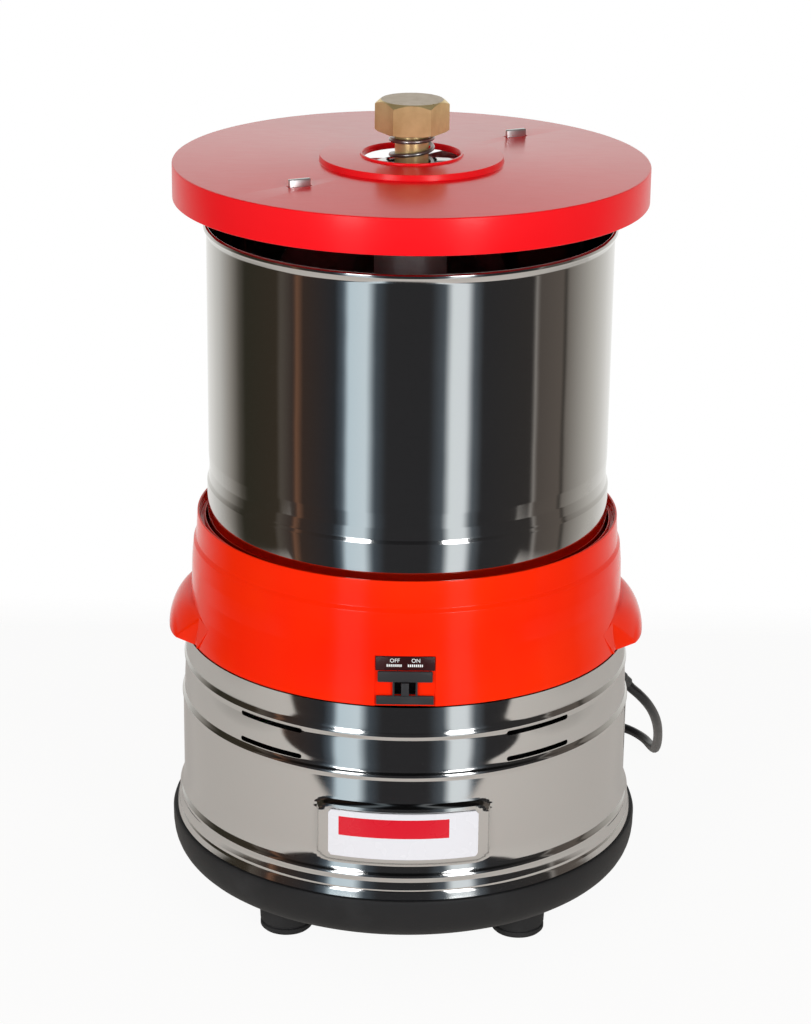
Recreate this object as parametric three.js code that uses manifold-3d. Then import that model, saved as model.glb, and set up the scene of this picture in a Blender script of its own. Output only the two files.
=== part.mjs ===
// Table-top chocolate melanger: granite rollers in a steel drum, turned by a belt from a motor in the base.
// Millimetres, +Z up, the floor at z = 0, the front towards -Y and the drum's axis on the Z axis.
import * as THREE from "three";
import { mergeVertices } from "three/addons/utils/BufferGeometryUtils.js";
import Module from "manifold-3d";

const wasm = await Module();
wasm.setup();

// Facets round a circle
const wideSides = 40;
const innerSides = 20;
const smallSides = 14;
const tinySides = 8;
const cornerSteps = 3; // on a rounded corner

// Clearances
const clearance = 0.3; // between pieces that touch
const runningGap = 1.2; // between a turning piece and a fixed one
const overrun = 3; // how far a cutter runs past what it cuts
const weldDistance = 0.001; // vertices closer than this are one

// Driving dimensions: the housing, the lid and the stones take their radii from the drum's
const drumRadius = 106.7;
const drumGap = 1.5; // between the drum and the collar's inner lip
const lidOverhang = 17.3; // of the lid past the drum
const waistStep = 2.3; // of the sleeve's waist past the collar
const shaftRadius = 8.2; // fixed centre shaft
const pillarRing = 89; // radius of the circle that the feet and the screw towers stand on
const lidRadius = drumRadius + lidOverhang;

const turn = 2 * Math.PI;
const radians = THREE.MathUtils.degToRad;
const quarterTurns = [45, 135, 225, 315];

// Geometry helpers

// A profile of [radius, height] pairs turned about the Z axis, closed on itself or on the axis.
function revolve(profile, sides = wideSides) {
  const points = profile.map(([radius, height]) => new THREE.Vector2(radius, height));
  if (points[0].x > 0) points.push(points[0].clone());
  if (THREE.ShapeUtils.area(points) < 0) points.reverse();
  return new THREE.LatheGeometry(points, sides).rotateX(turn / 4);
}

function ring(inner, outer, bottom, top, sides = smallSides) {
  return revolve([[inner, bottom], [outer, bottom], [outer, top], [inner, top]], sides);
}

function rod(radius, bottom, top, sides = smallSides) {
  return revolve([[0, bottom], [radius, bottom], [radius, top], [0, top]], sides);
}

// A box given by its low and high corners.
function block(low, high) {
  const size = low.map((value, axis) => high[axis] - value);
  const centre = low.map((value, axis) => (high[axis] + value) / 2);
  return new THREE.BoxGeometry(...size).translate(...centre);
}

// An outline in the XY plane raised from bottom to top.
function prism(shape, bottom, top, arcSteps = tinySides) {
  const settings = { depth: top - bottom, bevelEnabled: false, curveSegments: arcSteps };
  return new THREE.ExtrudeGeometry(shape, settings).translate(0, 0, bottom);
}

function polygon(points) {
  return new THREE.Shape(points.map(([x, y]) => new THREE.Vector2(x, y)));
}

function hexagon(acrossFlats) {
  const corner = acrossFlats / 2 / Math.cos(turn / 12);
  const corners = [0, 1, 2, 3, 4, 5].map((side) => (side * turn) / 6);
  return polygon(corners.map((angle) => [corner * Math.cos(angle), corner * Math.sin(angle)]));
}

function roundedRectangle(width, height, radius) {
  const shape = new THREE.Shape();
  const x = width / 2 - radius;
  const y = height / 2 - radius;
  shape.absarc(x, y, radius, 0, turn / 4);
  shape.absarc(-x, y, radius, turn / 4, turn / 2);
  shape.absarc(-x, -y, radius, turn / 2, -turn / 4);
  shape.absarc(x, -y, radius, -turn / 4, 0);
  return shape;
}

// A part of a ring between two angles, measured from the +X axis.
function ringSector(inner, outer, start, end, bottom, top, arcSteps = tinySides) {
  const shape = new THREE.Shape();
  shape.absarc(0, 0, outer, start, end, false);
  shape.absarc(0, 0, inner, end, start, true);
  return prism(shape, bottom, top, arcSteps);
}

// A closed skin over rings of equal point counts, with a fan of triangles on each of its two convex ends.
function skin(rings) {
  const count = rings[0].length;
  const index = [];
  const corner = (i, j) => i * count + (j % count);
  for (let i = 0; i + 1 < rings.length; i++) {
    for (let j = 0; j < count; j++) {
      index.push(corner(i, j), corner(i, j + 1), corner(i + 1, j + 1));
      index.push(corner(i, j), corner(i + 1, j + 1), corner(i + 1, j));
    }
  }
  const last = rings.length - 1;
  const hub = count - 2;
  for (let j = 1; j + 1 < count; j++) {
    index.push(corner(0, hub), corner(0, hub + j + 1), corner(0, hub + j));
    index.push(corner(last, hub), corner(last, hub + j), corner(last, hub + j + 1));
  }
  const geometry = new THREE.BufferGeometry().setFromPoints(rings.flat());
  geometry.setIndex(index);
  return geometry;
}

// A round tube along a list of centre points, whose end faces stand square to the path.
function tubeAlong(centres, radiusAt, sides) {
  const outline = Array.from({ length: sides }, (_, side) => {
    const angle = (side * turn) / sides;
    return new THREE.Vector2(Math.cos(angle), Math.sin(angle));
  });
  let across = null;
  const rings = centres.map((centre, i) => {
    const before = centres[Math.max(i - 1, 0)];
    const after = centres[Math.min(i + 1, centres.length - 1)];
    const along = after.clone().sub(before).normalize();
    if (!across) across = new THREE.Vector3(0, 0, 1).cross(along).normalize();
    across.addScaledVector(along, -across.dot(along)).normalize();
    const upward = along.clone().cross(across);
    return outline.map((spot) => centre.clone()
      .addScaledVector(across, radiusAt(i) * spot.x)
      .addScaledVector(upward, radiusAt(i) * spot.y));
  });
  return skin(rings);
}

function toSolid(geometry) {
  const bare = new THREE.BufferGeometry();
  bare.setAttribute("position", geometry.getAttribute("position"));
  if (geometry.index) bare.setIndex(geometry.index);
  const merged = mergeVertices(bare, weldDistance);
  const corners = Array.from(merged.index.array);
  const kept = [];
  for (let i = 0; i < corners.length; i += 3) {
    const [a, b, c] = corners.slice(i, i + 3);
    if (a !== b && b !== c && c !== a) kept.push(a, b, c);
  }
  return new wasm.Manifold(new wasm.Mesh({
    numProp: 3,
    vertProperties: merged.getAttribute("position").array,
    triVerts: new Uint32Array(kept),
  }));
}

function toGeometry(solid) {
  const mesh = solid.getMesh();
  const geometry = new THREE.BufferGeometry();
  geometry.setAttribute("position", new THREE.BufferAttribute(mesh.vertProperties, 3));
  geometry.setIndex(new THREE.BufferAttribute(mesh.triVerts, 1));
  return geometry;
}

function join(first, ...others) {
  return toGeometry(others.reduce((sum, other) => sum.add(toSolid(other)), toSolid(first)));
}

function cut(first, ...tools) {
  return toGeometry(tools.reduce((rest, tool) => rest.subtract(toSolid(tool)), toSolid(first)));
}

function overlapOf(first, second) {
  return toGeometry(toSolid(first).intersect(toSolid(second)));
}

const circular = 2; // the roundness of a plain ellipse

// The points of a quarter of a superellipse from (startRadius, bottom) out to (endRadius, bottom + rise).
function bowlCurve(startRadius, endRadius, bottom, rise, roundness, steps) {
  return Array.from({ length: steps + 1 }, (_, i) => {
    const angle = (i / steps) * (turn / 4);
    const out = Math.sin(angle) ** (2 / roundness);
    const down = Math.cos(angle) ** (2 / roundness);
    return [startRadius + (endRadius - startRadius) * out, bottom + rise * (1 - down)];
  });
}

// Materials
function finish(color, roughness, metalness = 0) {
  return new THREE.MeshStandardMaterial({ color, roughness, metalness, flatShading: true });
}

const lidRed = finish(0xc8141e, 0.18);
const collarOrange = finish(0xf0380c, 0.2);
const mirrorSteel = finish(0xc9c6c0, 0.12, 1);
const brushedSteel = finish(0x9a9a98, 0.35, 1);
const castAluminium = finish(0xb4b6b8, 0.45, 1);
const brass = finish(0xc8a05f, 0.3, 1);
const blackPlastic = finish(0x2f2f31, 0.55);
const blackGloss = finish(0x18181a, 0.2);
const blackRubber = finish(0x1c1c1c, 0.8);
const granite = finish(0x4a4a4c, 0.6);
const whitePlastic = finish(0xe8e8e4, 0.4);
const labelWhite = finish(0xf0f0f2, 0.35);
const copper = finish(0xb06a3a, 0.4, 1);
const laminatedIron = finish(0x70747a, 0.5, 1);

// Rubber feet
const foot = {
  radius: 15,
  soleRadius: 14.2,
  height: 19.7,
  soleEdge: 1,
  grooveDepth: 1,
  grooveHeight: 3.4,
  grooveWidth: 1.4,
};

function footGeometry() {
  const neck = foot.soleRadius - foot.grooveDepth;
  return revolve([
    [0, 0],
    [foot.soleRadius - foot.soleEdge, 0],
    [foot.soleRadius, foot.soleEdge],
    [foot.soleRadius, foot.grooveHeight],
    [neck, foot.grooveHeight],
    [neck, foot.grooveHeight + foot.grooveWidth],
    [foot.soleRadius, foot.grooveHeight + foot.grooveWidth],
    [foot.radius, foot.height],
    [0, foot.height],
  ], smallSides);
}

// Base pan: a moulded bowl with four tall screw towers that carry the deck plate
const pan = {
  ledge: 2,
  floorRadius: 89,
  belly: 26,
  height: 27.9,
  rimEase: 0.8,
  wall: 4,
  roundness: 3.2,
  towerFootRadius: 9,
  towerTopRadius: 6.5,
  outerSteps: 5,
  innerSteps: 3,
  ventRing: 48,
  ventLength: 30,
  ventWidth: 4,
  ventCount: 8,
};
const panBottom = foot.height + clearance;
const panTop = panBottom + pan.height;

// Collar: the orange upper moulding, with the drum well, two ear handles and the switch recess
const collar = {
  height: 67.5,
  wall: 3,
  rimWall: 1.4,
  channelWidth: 2.5,
  channelDepth: 7,
  innerLipWall: 1,
  innerLipDrop: 4,
  rimStep: 3.4,
  shoulderStep: 3.2,
  wellFloor: 34,
  wellFloorThickness: 2.5,
  shoulderLow: 39.5,
  shoulderHigh: 53,
  flareStart: 28.5,
  rimEase: 0.6,
  openingRadius: 40,
  lipRise: 2.3,
  bossRadius: 5,
  bossInset: 21.7,
};
const wellRadius = drumRadius + drumGap;
const innerLipOuter = wellRadius + collar.innerLipWall;
const channelOuter = innerLipOuter + collar.channelWidth;
const rimRadius = channelOuter + collar.rimWall;
const shoulderRadius = rimRadius + collar.rimStep;
const skirtRadius = shoulderRadius + collar.shoulderStep;
const waistRadius = skirtRadius + waistStep;

// Stainless sleeve: flared skirt, waist, narrower neck and an inward flange at the top
const sleeve = {
  flare: 4.5,
  neckStep: 1.8,
  height: 106,
  wall: 1.2,
  flareHeight: 36,
  flarePower: 1.3,
  beadRise: 0.9,
  beadWidth: 5,
  lowBead: 11.8,
  middleBead: 68.3,
  highBead: 96.3,
  flangeWidth: 12,
};
const neckRadius = waistRadius - sleeve.neckStep;
const panRadius = waistRadius + sleeve.flare + pan.ledge;
const sleeveBottom = panTop + clearance;
const sleeveTop = sleeveBottom + sleeve.height;

// Deck plate under the sleeve's flange
const deck = { thickness: 2.5, edgeEase: 2, wireHole: 9, wireHoleInset: 21, motorHole: 20 };
const deckTop = sleeveTop - sleeve.wall - clearance;
const deckBottom = deckTop - deck.thickness;
const deckRadius = neckRadius - sleeve.wall - deck.edgeEase;

function ventGeometry(angle) {
  const shape = roundedRectangle(pan.ventLength, pan.ventWidth, pan.ventWidth / 2 - weldDistance);
  return prism(shape, panBottom - overrun, panBottom + pan.wall + overrun, cornerSteps)
    .translate(pan.ventRing, 0, 0)
    .rotateZ(angle);
}

function panGeometry() {
  const outer = bowlCurve(pan.floorRadius, panRadius, panBottom, pan.belly, pan.roundness, pan.outerSteps);
  const inner = bowlCurve(
    pan.floorRadius - pan.wall,
    panRadius - pan.wall,
    panBottom + pan.wall,
    pan.belly - pan.wall,
    pan.roundness,
    pan.innerSteps,
  );
  const bowl = revolve([
    [0, panBottom],
    ...outer,
    [panRadius - pan.rimEase, panTop],
    [panRadius - pan.wall, panTop],
    ...inner.reverse(),
    [0, panBottom + pan.wall],
  ]);
  const floorMiddle = panBottom + pan.wall / 2;
  const towers = quarterTurns.map((degrees) => {
    const tower = revolve([
      [0, floorMiddle],
      [pan.towerFootRadius, floorMiddle],
      [pan.towerTopRadius, deckBottom - clearance],
      [0, deckBottom - clearance],
    ], tinySides);
    const angle = radians(degrees);
    return tower.translate(pillarRing * Math.cos(angle), pillarRing * Math.sin(angle), 0);
  });
  const vents = Array.from({ length: pan.ventCount }, (_, i) => ventGeometry((i * turn) / pan.ventCount));
  return cut(join(bowl, ...towers), ...vents);
}

// The sleeve's outer radius at a height above its bottom edge, without the beads.
function sleeveRadiusAt(height) {
  if (height > sleeve.middleBead) return neckRadius;
  const flare = Math.max(0, 1 - height / sleeve.flareHeight) ** sleeve.flarePower;
  return waistRadius + sleeve.flare * flare;
}

function beadProfile(height) {
  const below = sleeveRadiusAt(height - sleeve.beadWidth / 2);
  const above = sleeveRadiusAt(height + sleeve.beadWidth / 2);
  const crest = below + sleeve.beadRise;
  const bottom = sleeveBottom + height;
  return [
    [below, bottom - sleeve.beadWidth / 2],
    [crest, bottom],
    [above, bottom + sleeve.beadWidth / 2],
  ];
}

// Vent slots on both sides of the plaque and, as on the front, on both sides of the rear
const slot = {
  height: 2.7,
  upper: 87.3,
  lower: 73,
  startDegrees: 26,
  endDegrees: 45,
};

function sleeveSlots() {
  const cutters = [];
  for (const row of [slot.upper, slot.lower]) {
    for (const middle of [-90, 90]) {
      for (const side of [-1, 1]) {
        const near = middle + side * slot.startDegrees;
        const far = middle + side * slot.endDegrees;
        cutters.push(ringSector(
          neckRadius - sleeve.wall - overrun,
          waistRadius + overrun,
          radians(Math.min(near, far)),
          radians(Math.max(near, far)),
          sleeveBottom + row - slot.height / 2,
          sleeveBottom + row + slot.height / 2,
          cornerSteps,
        ));
      }
    }
  }
  return cutters;
}

// Raised plaque on the sleeve's front, and the plain plate on it
const plaque = {
  rise: 2.6,
  width: 89,
  height: 33,
  middle: 35.6,
  corner: 7,
};
const plate = { width: 79, height: 26, thickness: 0.8, corner: 1.6 };
const plaqueRadius = waistRadius + plaque.rise;

// A rounded rectangle seen from the front, bent to a ring between two radii.
function frontPanel(width, height, corner, inner, outer, middle) {
  const outline = prism(roundedRectangle(width, height, corner), 0, outer + overrun, cornerSteps)
    .rotateX(turn / 4)
    .translate(0, 0, middle);
  const halfAngle = Math.asin((width / 2 + overrun) / outer);
  const low = middle - height / 2 - overrun;
  const high = middle + height / 2 + overrun;
  const band = ringSector(inner, outer, -turn / 4 - halfAngle, -turn / 4 + halfAngle, low, high);
  return overlapOf(band, outline);
}

const plaqueMiddle = sleeveBottom + plaque.middle;

function plaqueGeometry() {
  const { width, height, corner } = plaque;
  return frontPanel(width, height, corner, waistRadius - sleeve.wall / 2, plaqueRadius, plaqueMiddle);
}

function namePlateGeometry() {
  const inner = plaqueRadius + clearance;
  return frontPanel(plate.width, plate.height, plate.corner, inner, inner + plate.thickness, plaqueMiddle);
}

// Mains lead: where it leaves the sleeve, and its strain relief
const lead = {
  radius: 2.8,
  exitDegrees: 23.4,
  exitHeight: 51.8,
  neckRadius: 4.7,
  neckLength: 8,
  flangeRadius: 7,
  flangeThickness: 2.4,
  bootRadius: 5.2,
  tipRadius: 3.7,
  straight: 6,
  bendRadius: 12,
  bendDegrees: 46,
  tipLength: 3,
};
const leadExit = radians(lead.exitDegrees);
const leadHeight = sleeveBottom + lead.exitHeight;

function sleeveGeometry() {
  const flareShares = [0, 0.5, 1];
  const beadLow = sleeve.lowBead - sleeve.beadWidth / 2;
  const beadHigh = sleeve.lowBead + sleeve.beadWidth / 2;
  const below = flareShares.filter((share) => share * sleeve.flareHeight < beadLow);
  const above = flareShares.filter((share) => share * sleeve.flareHeight > beadHigh);
  const flarePoint = (share) => {
    const height = share * sleeve.flareHeight;
    return [sleeveRadiusAt(height), sleeveBottom + height];
  };
  const inward = ([radius, height]) => [radius - sleeve.wall, height];
  const flangeInner = neckRadius - sleeve.flangeWidth;
  const neckInner = neckRadius - sleeve.wall;
  const stepHeight = sleeveBottom + sleeve.middleBead;
  const shell = revolve([
    inward(flarePoint(0)),
    ...below.map(flarePoint),
    ...beadProfile(sleeve.lowBead),
    ...above.map(flarePoint),
    ...beadProfile(sleeve.middleBead),
    ...beadProfile(sleeve.highBead),
    [neckRadius, sleeveTop],
    [flangeInner, sleeveTop],
    [flangeInner, sleeveTop - sleeve.wall],
    [neckInner, sleeveTop - sleeve.wall],
    [neckInner, stepHeight + sleeve.beadWidth / 2],
    [waistRadius - sleeve.wall, stepHeight - sleeve.beadWidth / 2],
    inward(flarePoint(1)),
  ]);
  const leadHole = rod(lead.neckRadius + clearance, 0, waistRadius + overrun, tinySides)
    .rotateY(turn / 4)
    .rotateZ(leadExit)
    .translate(0, 0, leadHeight);
  return cut(join(shell, plaqueGeometry()), ...sleeveSlots(), leadHole);
}

const collarBottom = sleeveTop + clearance;
const collarTop = collarBottom + collar.height;
const wellFloorTop = collarBottom + collar.wellFloor;
const wellFloorBottom = wellFloorTop - collar.wellFloorThickness;

// Shares of the way up the collar's skirt and of its way in.
const skirtShares = [[0, 0], [0.32, 0.42], [0.64, 0.78], [1, 1]];
const shoulderShare = 0.28;

// The collar's outer side from its bottom edge up to the rim.
const collarOuter = [
  ...skirtShares.map(([up, inward]) => [
    skirtRadius - collar.shoulderStep * inward,
    collarBottom + collar.flareStart * up,
  ]),
  [shoulderRadius, collarBottom + collar.shoulderLow],
  [rimRadius + collar.rimStep * shoulderShare, collarBottom + collar.shoulderHigh],
  [rimRadius, collarTop - collar.rimEase],
];

function collarRadiusAt(z) {
  for (let i = 0; i + 1 < collarOuter.length; i++) {
    const [[lowRadius, low], [highRadius, high]] = [collarOuter[i], collarOuter[i + 1]];
    if (z <= high) return lowRadius + ((highRadius - lowRadius) * (z - low)) / (high - low);
  }
  return rimRadius;
}

// Ear handles: a hood on each side, open below as a finger pocket, with slanting flat ends
const ear = {
  reach: 12,
  bulgeHeight: 1.5,
  crownHeight: 20.5,
  endReach: 9.8,
  endCrownHeight: 17,
  wall: 2.2,
  rootDegrees: 22.5,
  tipDegrees: 13.6,
  fullness: 2.6,
  slimness: 1.2,
};
const earShares = [-1, -0.82, -0.55, 0, 0.55, 0.82, 1];
const earEndShare = 0.8; // of the wall, at the ear's slanting ends
const earSteps = 6;

// One closed outline of the ear in [radius, height] at a place from -1 (front end) to 1 (rear end).
// thin is how far the outline is drawn in, which makes the pocket's outline.
function earOutline(place, thin, bottom) {
  const full = 1 - Math.abs(place) ** ear.fullness;
  const outline = [];
  for (let i = 0; i <= earSteps; i++) {
    const share = i / earSteps;
    const angle = share * (turn / 4);
    const bulgeZ = collarBottom + ear.bulgeHeight;
    const crownZ = collarBottom + ear.crownHeight;
    const out = Math.sin(angle) ** ear.slimness;
    const up = Math.cos(angle) ** ear.slimness;
    const roundRadius = collarRadiusAt(crownZ) + ear.reach * out - thin * Math.sin(angle);
    const roundZ = bulgeZ + (crownZ - bulgeZ) * up - thin * Math.cos(angle);
    const endRoot = collarRadiusAt(collarBottom + ear.endCrownHeight);
    const endRadius = endRoot + ear.endReach * share - thin * earEndShare;
    const endZ = collarBottom + (ear.endCrownHeight - thin) * (1 - share);
    outline.push([endRadius + (roundRadius - endRadius) * full, endZ + (roundZ - endZ) * full]);
  }
  outline.push([outline[earSteps][0] - weldDistance * thin, bottom]);
  const innerWall = (z) => collarRadiusAt(Math.max(z, collarBottom)) - collar.wall / 2;
  outline.push([innerWall(bottom), bottom]);
  outline.push([innerWall(outline[0][1]), outline[0][1]]);
  return outline;
}

function earLoft(thin, ends, bottom) {
  const rings = earShares.map((share) => {
    const place = share * ends;
    const outline = earOutline(place, thin, bottom);
    return outline.map(([radius, z]) => {
      const out = THREE.MathUtils.clamp((radius - shoulderRadius) / ear.endReach, 0, 1);
      const degrees = place * THREE.MathUtils.lerp(ear.rootDegrees, ear.tipDegrees, out);
      return new THREE.Vector3(radius * Math.cos(radians(degrees)), radius * Math.sin(radians(degrees)), z);
    });
  });
  return skin(rings);
}

function earGeometry() {
  const pocketEnds = 1 - ear.wall / (waistRadius * radians(ear.tipDegrees));
  return cut(earLoft(0, 1, collarBottom), earLoft(ear.wall, pocketEnds, collarBottom - overrun));
}

// Slide switch in a recess of the collar's front: a fixed I-shaped bezel with a small nub in its window
const recess = { width: 31, height: 27, depth: 2, slotHeight: 7.2, slotMiddle: 9.5 };
const switchLabel = { height: 7.4, thickness: 1.1, ease: 0.4 };
const bezel = {
  upperWidth: 28,
  upperHeight: 5.7,
  lowerWidth: 29.4,
  lowerHeight: 4.6,
  frameWidth: 12.8,
  windowWidth: 10.8,
  thickness: 1.7,
};
const slider = { width: 4, front: 1, depth: 9, travel: 3.1 };
const switchBody = { width: 26, height: 19, depth: 15, standOff: 1.6 };
const wallLean = Math.atan2(skirtRadius - collarRadiusAt(collarBottom + recess.height), recess.height);

// Puts a shape drawn in the switch's frame on the collar's front: x to the right, y inwards, z up the wall.
function onFront(geometry) {
  return geometry.rotateX(-wallLean).translate(0, -skirtRadius, collarBottom);
}

const slotLow = recess.slotMiddle - recess.slotHeight / 2;
const slotHigh = recess.slotMiddle + recess.slotHeight / 2;

function switchRecess() {
  const half = recess.width / 2;
  const windowHalf = bezel.windowWidth / 2;
  return [
    onFront(block([-half, -overrun, -overrun], [half, recess.depth, recess.height])),
    onFront(block([-windowHalf, 0, slotLow], [windowHalf, collar.wall + overrun, slotHigh])),
  ];
}

function switchLabelGeometry() {
  const half = recess.width / 2 - switchLabel.ease;
  const top = recess.height - switchLabel.ease;
  const back = recess.depth - clearance;
  return onFront(block([-half, back - switchLabel.thickness, top - switchLabel.height], [half, back, top]));
}

function bezelGeometry() {
  const back = recess.depth - clearance;
  const front = back - bezel.thickness;
  const bar = (width, low, high) => block([-width / 2, front, low], [width / 2, back, high]);
  const solid = join(
    bar(bezel.upperWidth, slotHigh, slotHigh + bezel.upperHeight),
    bar(bezel.lowerWidth, slotLow - bezel.lowerHeight, slotLow),
    bar(bezel.frameWidth, slotLow - bezel.lowerHeight / 2, slotHigh + bezel.upperHeight / 2),
  );
  const half = bezel.windowWidth / 2;
  return onFront(cut(solid, block([-half, front - overrun, slotLow], [half, back + overrun, slotHigh])));
}

function sliderGeometry() {
  const half = slider.width / 2;
  const low = slotLow + clearance;
  const high = slotHigh - clearance;
  return onFront(block([-half, -slider.front, low], [half, slider.depth, high]));
}

function switchBodyGeometry() {
  const front = collar.wall + switchBody.standOff;
  const half = switchBody.width / 2;
  const low = recess.slotMiddle - switchBody.height / 2 + runningGap;
  const wayHalf = slider.width / 2 + slider.travel + clearance;
  return onFront(cut(
    block([-half, front, low], [half, front + switchBody.depth, low + switchBody.height]),
    block([-wayHalf, front - overrun, slotLow], [wayHalf, slider.depth + runningGap, slotHigh]),
  ));
}

function collarGeometry() {
  const inside = (z) => collarRadiusAt(z) - collar.wall;
  const shell = revolve([
    [inside(collarBottom), collarBottom],
    ...collarOuter,
    [rimRadius - collar.rimEase, collarTop],
    [channelOuter, collarTop],
    [channelOuter, collarTop - collar.channelDepth],
    [innerLipOuter, collarTop - collar.channelDepth],
    [innerLipOuter, collarTop - collar.innerLipDrop],
    [wellRadius, collarTop - collar.innerLipDrop],
    [wellRadius, wellFloorTop],
    [collar.openingRadius + collar.wall, wellFloorTop],
    [collar.openingRadius + collar.wall, wellFloorTop + collar.lipRise],
    [collar.openingRadius, wellFloorTop + collar.lipRise],
    [collar.openingRadius, wellFloorBottom],
    [inside(wellFloorBottom), wellFloorBottom],
    [inside(collarOuter[1][1]), collarOuter[1][1]],
  ]);
  const bosses = quarterTurns.map((degrees) =>
    rod(collar.bossRadius, deckTop + clearance, wellFloorTop - clearance, tinySides)
      .translate(skirtRadius - collar.bossInset, 0, 0)
      .rotateZ(radians(degrees)));
  const rightEar = earGeometry();
  const leftEar = rightEar.clone().rotateZ(turn / 2);
  return cut(join(shell, rightEar, leftEar, ...bosses), ...switchRecess());
}

// The motor stands beside the shaft, against the sleeve's rear.
const motorShare = 0.3279; // of the waist's radius
const motorInset = 4.8;
const motorRadius = waistRadius * motorShare;
const motorOffset = waistRadius - sleeve.wall - motorInset - motorRadius;

// Fixed centre shaft on its flange under the deck
const shaft = {
  flangeGap: 6,
  flangeThickness: 6,
  hubRadius: 15,
  hubLength: 20,
  studRadius: 5,
  studLength: 40,
  keyHalfWidth: 6.9,
};
const flangeRadius = motorOffset - motorRadius - shaft.flangeGap;
const shaftBottom = deckBottom - clearance - shaft.flangeThickness - shaft.hubLength;
const shaftBore = shaftRadius + clearance;

function shaftFlangeGeometry() {
  const top = deckBottom - clearance;
  return revolve([
    [shaftBore, shaftBottom],
    [shaft.hubRadius, shaftBottom],
    [shaft.hubRadius, top - shaft.flangeThickness],
    [flangeRadius, top - shaft.flangeThickness],
    [flangeRadius, top],
    [shaftBore, top],
  ], smallSides);
}

function deckGeometry() {
  const plateRound = ring(shaftBore, deckRadius, deckBottom, deckTop, innerSides);
  const motorHole = rod(deck.motorHole, deckBottom - overrun, deckTop + overrun).translate(0, motorOffset, 0);
  const wireHoles = [-1, 1].map((side) =>
    rod(deck.wireHole, deckBottom - overrun, deckTop + overrun, tinySides)
      .translate(side * (deckRadius - deck.wireHoleInset), 0, 0));
  return cut(plateRound, motorHole, ...wireHoles);
}

// Ball bearings, each as one ring with the groove between its races
const raceShare = 0.28;
const grooveShare = 0.12;

function bearingGeometry(inner, outer, width, bottom) {
  const race = (outer - inner) * raceShare;
  const groove = width * grooveShare;
  const top = bottom + width;
  return revolve([
    [inner, bottom],
    [outer, bottom],
    [outer, top],
    [outer - race, top],
    [outer - race, top - groove],
    [inner + race, top - groove],
    [inner + race, top],
    [inner, top],
  ], smallSides);
}

// Drum seat: hub on two bearings, a cup that carries the drum's floor and a hexagon that drives it
const bearing = { outer: 17.5, width: 10 };
const seat = {
  lift: 3.3,
  hubRadius: 24,
  cupRadius: 60,
  cupWall: 6,
  cupRise: 8.7,
  discThickness: 5,
  hexAcross: 50,
  shoulderRadius: 13.5,
  bearingInset: 2,
};
const seatBottom = deckTop + seat.lift;
const seatDiscBottom = wellFloorTop + collar.lipRise + runningGap;
const seatDiscTop = seatDiscBottom + seat.discThickness;
const drumBottom = seatDiscTop + seat.cupRise + clearance;
const bearingPocket = bearing.outer + clearance;
const lowBearingBottom = seatBottom + seat.bearingInset;
const lowShoulder = lowBearingBottom + bearing.width + clearance;
const highShoulder = seatDiscBottom - bearing.width;

function drumSeatGeometry() {
  const cupInner = seat.cupRadius - seat.cupWall;
  const round = revolve([
    [bearingPocket, seatBottom],
    [seat.hubRadius, seatBottom],
    [seat.hubRadius, seatDiscBottom],
    [seat.cupRadius, seatDiscBottom],
    [seat.cupRadius, seatDiscTop + seat.cupRise],
    [cupInner, seatDiscTop + seat.cupRise],
    [cupInner, seatDiscTop],
    [bearingPocket, seatDiscTop],
    [bearingPocket, highShoulder],
    [seat.shoulderRadius, highShoulder],
    [seat.shoulderRadius, lowShoulder],
    [bearingPocket, lowShoulder],
  ], innerSides);
  const hexTop = drumBottom - 2 * clearance;
  const hexRing = cut(
    prism(hexagon(seat.hexAcross), seatDiscTop - seat.discThickness / 2, hexTop),
    rod(bearingPocket, seatDiscBottom - overrun, drumBottom + overrun, innerSides),
  );
  return join(round, hexRing);
}

// Drum: spun shell, coupling ring under its floor, centre tube and its seal
const drum = {
  height: 172.4,
  wall: 1.5,
  cornerRadius: 8,
  cornerSteps: 2,
  beadHeight: 35.5,
  beadWidth: 6,
  beadRise: 1.2,
  rimRise: 3.4,
  rimWidth: 1.6,
  couplingRadius: 36,
};
const drumTop = drumBottom + drum.height;
const drumFloorTop = drumBottom + drum.wall;
const drumInner = drumRadius - drum.wall;

function drumShellGeometry() {
  const floorRadius = drumRadius - drum.cornerRadius;
  const innerCorner = drum.cornerRadius - drum.wall;
  const beadLow = drumBottom + drum.beadHeight - drum.beadWidth / 2;
  const beadHigh = drumBottom + drum.beadHeight + drum.beadWidth / 2;
  const crest = drumRadius + drum.beadRise;
  return revolve([
    [shaftRadius + runningGap, drumBottom],
    ...bowlCurve(floorRadius, drumRadius, drumBottom, drum.cornerRadius, circular, drum.cornerSteps),
    [drumRadius, beadLow],
    [crest, (beadLow + beadHigh) / 2],
    [drumRadius, beadHigh],
    [drumRadius, drumTop - drum.rimRise],
    [drumRadius + drum.rimWidth, drumTop - drum.rimRise / 2],
    [drumRadius + drum.rimWidth / 2, drumTop],
    [drumInner, drumTop],
    ...bowlCurve(floorRadius, drumInner, drumFloorTop, innerCorner, circular, drum.cornerSteps).reverse(),
    [shaftRadius + runningGap, drumFloorTop],
  ]);
}

function drumCouplingGeometry() {
  const bottom = seatDiscTop + clearance;
  const top = drumBottom - clearance;
  return cut(
    rod(drum.couplingRadius, bottom, top, innerSides),
    prism(hexagon(seat.hexAcross + 2 * clearance), bottom - overrun, top + overrun),
  );
}

const tube = { outer: 13.5, wall: 1.5, length: 144.2, sealHeight: 6 };
const tubeBottom = drumFloorTop + clearance;
const tubeTop = tubeBottom + tube.length;

function centreTubeGeometry() {
  return ring(tube.outer - tube.wall, tube.outer, tubeBottom, tubeTop);
}

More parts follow.
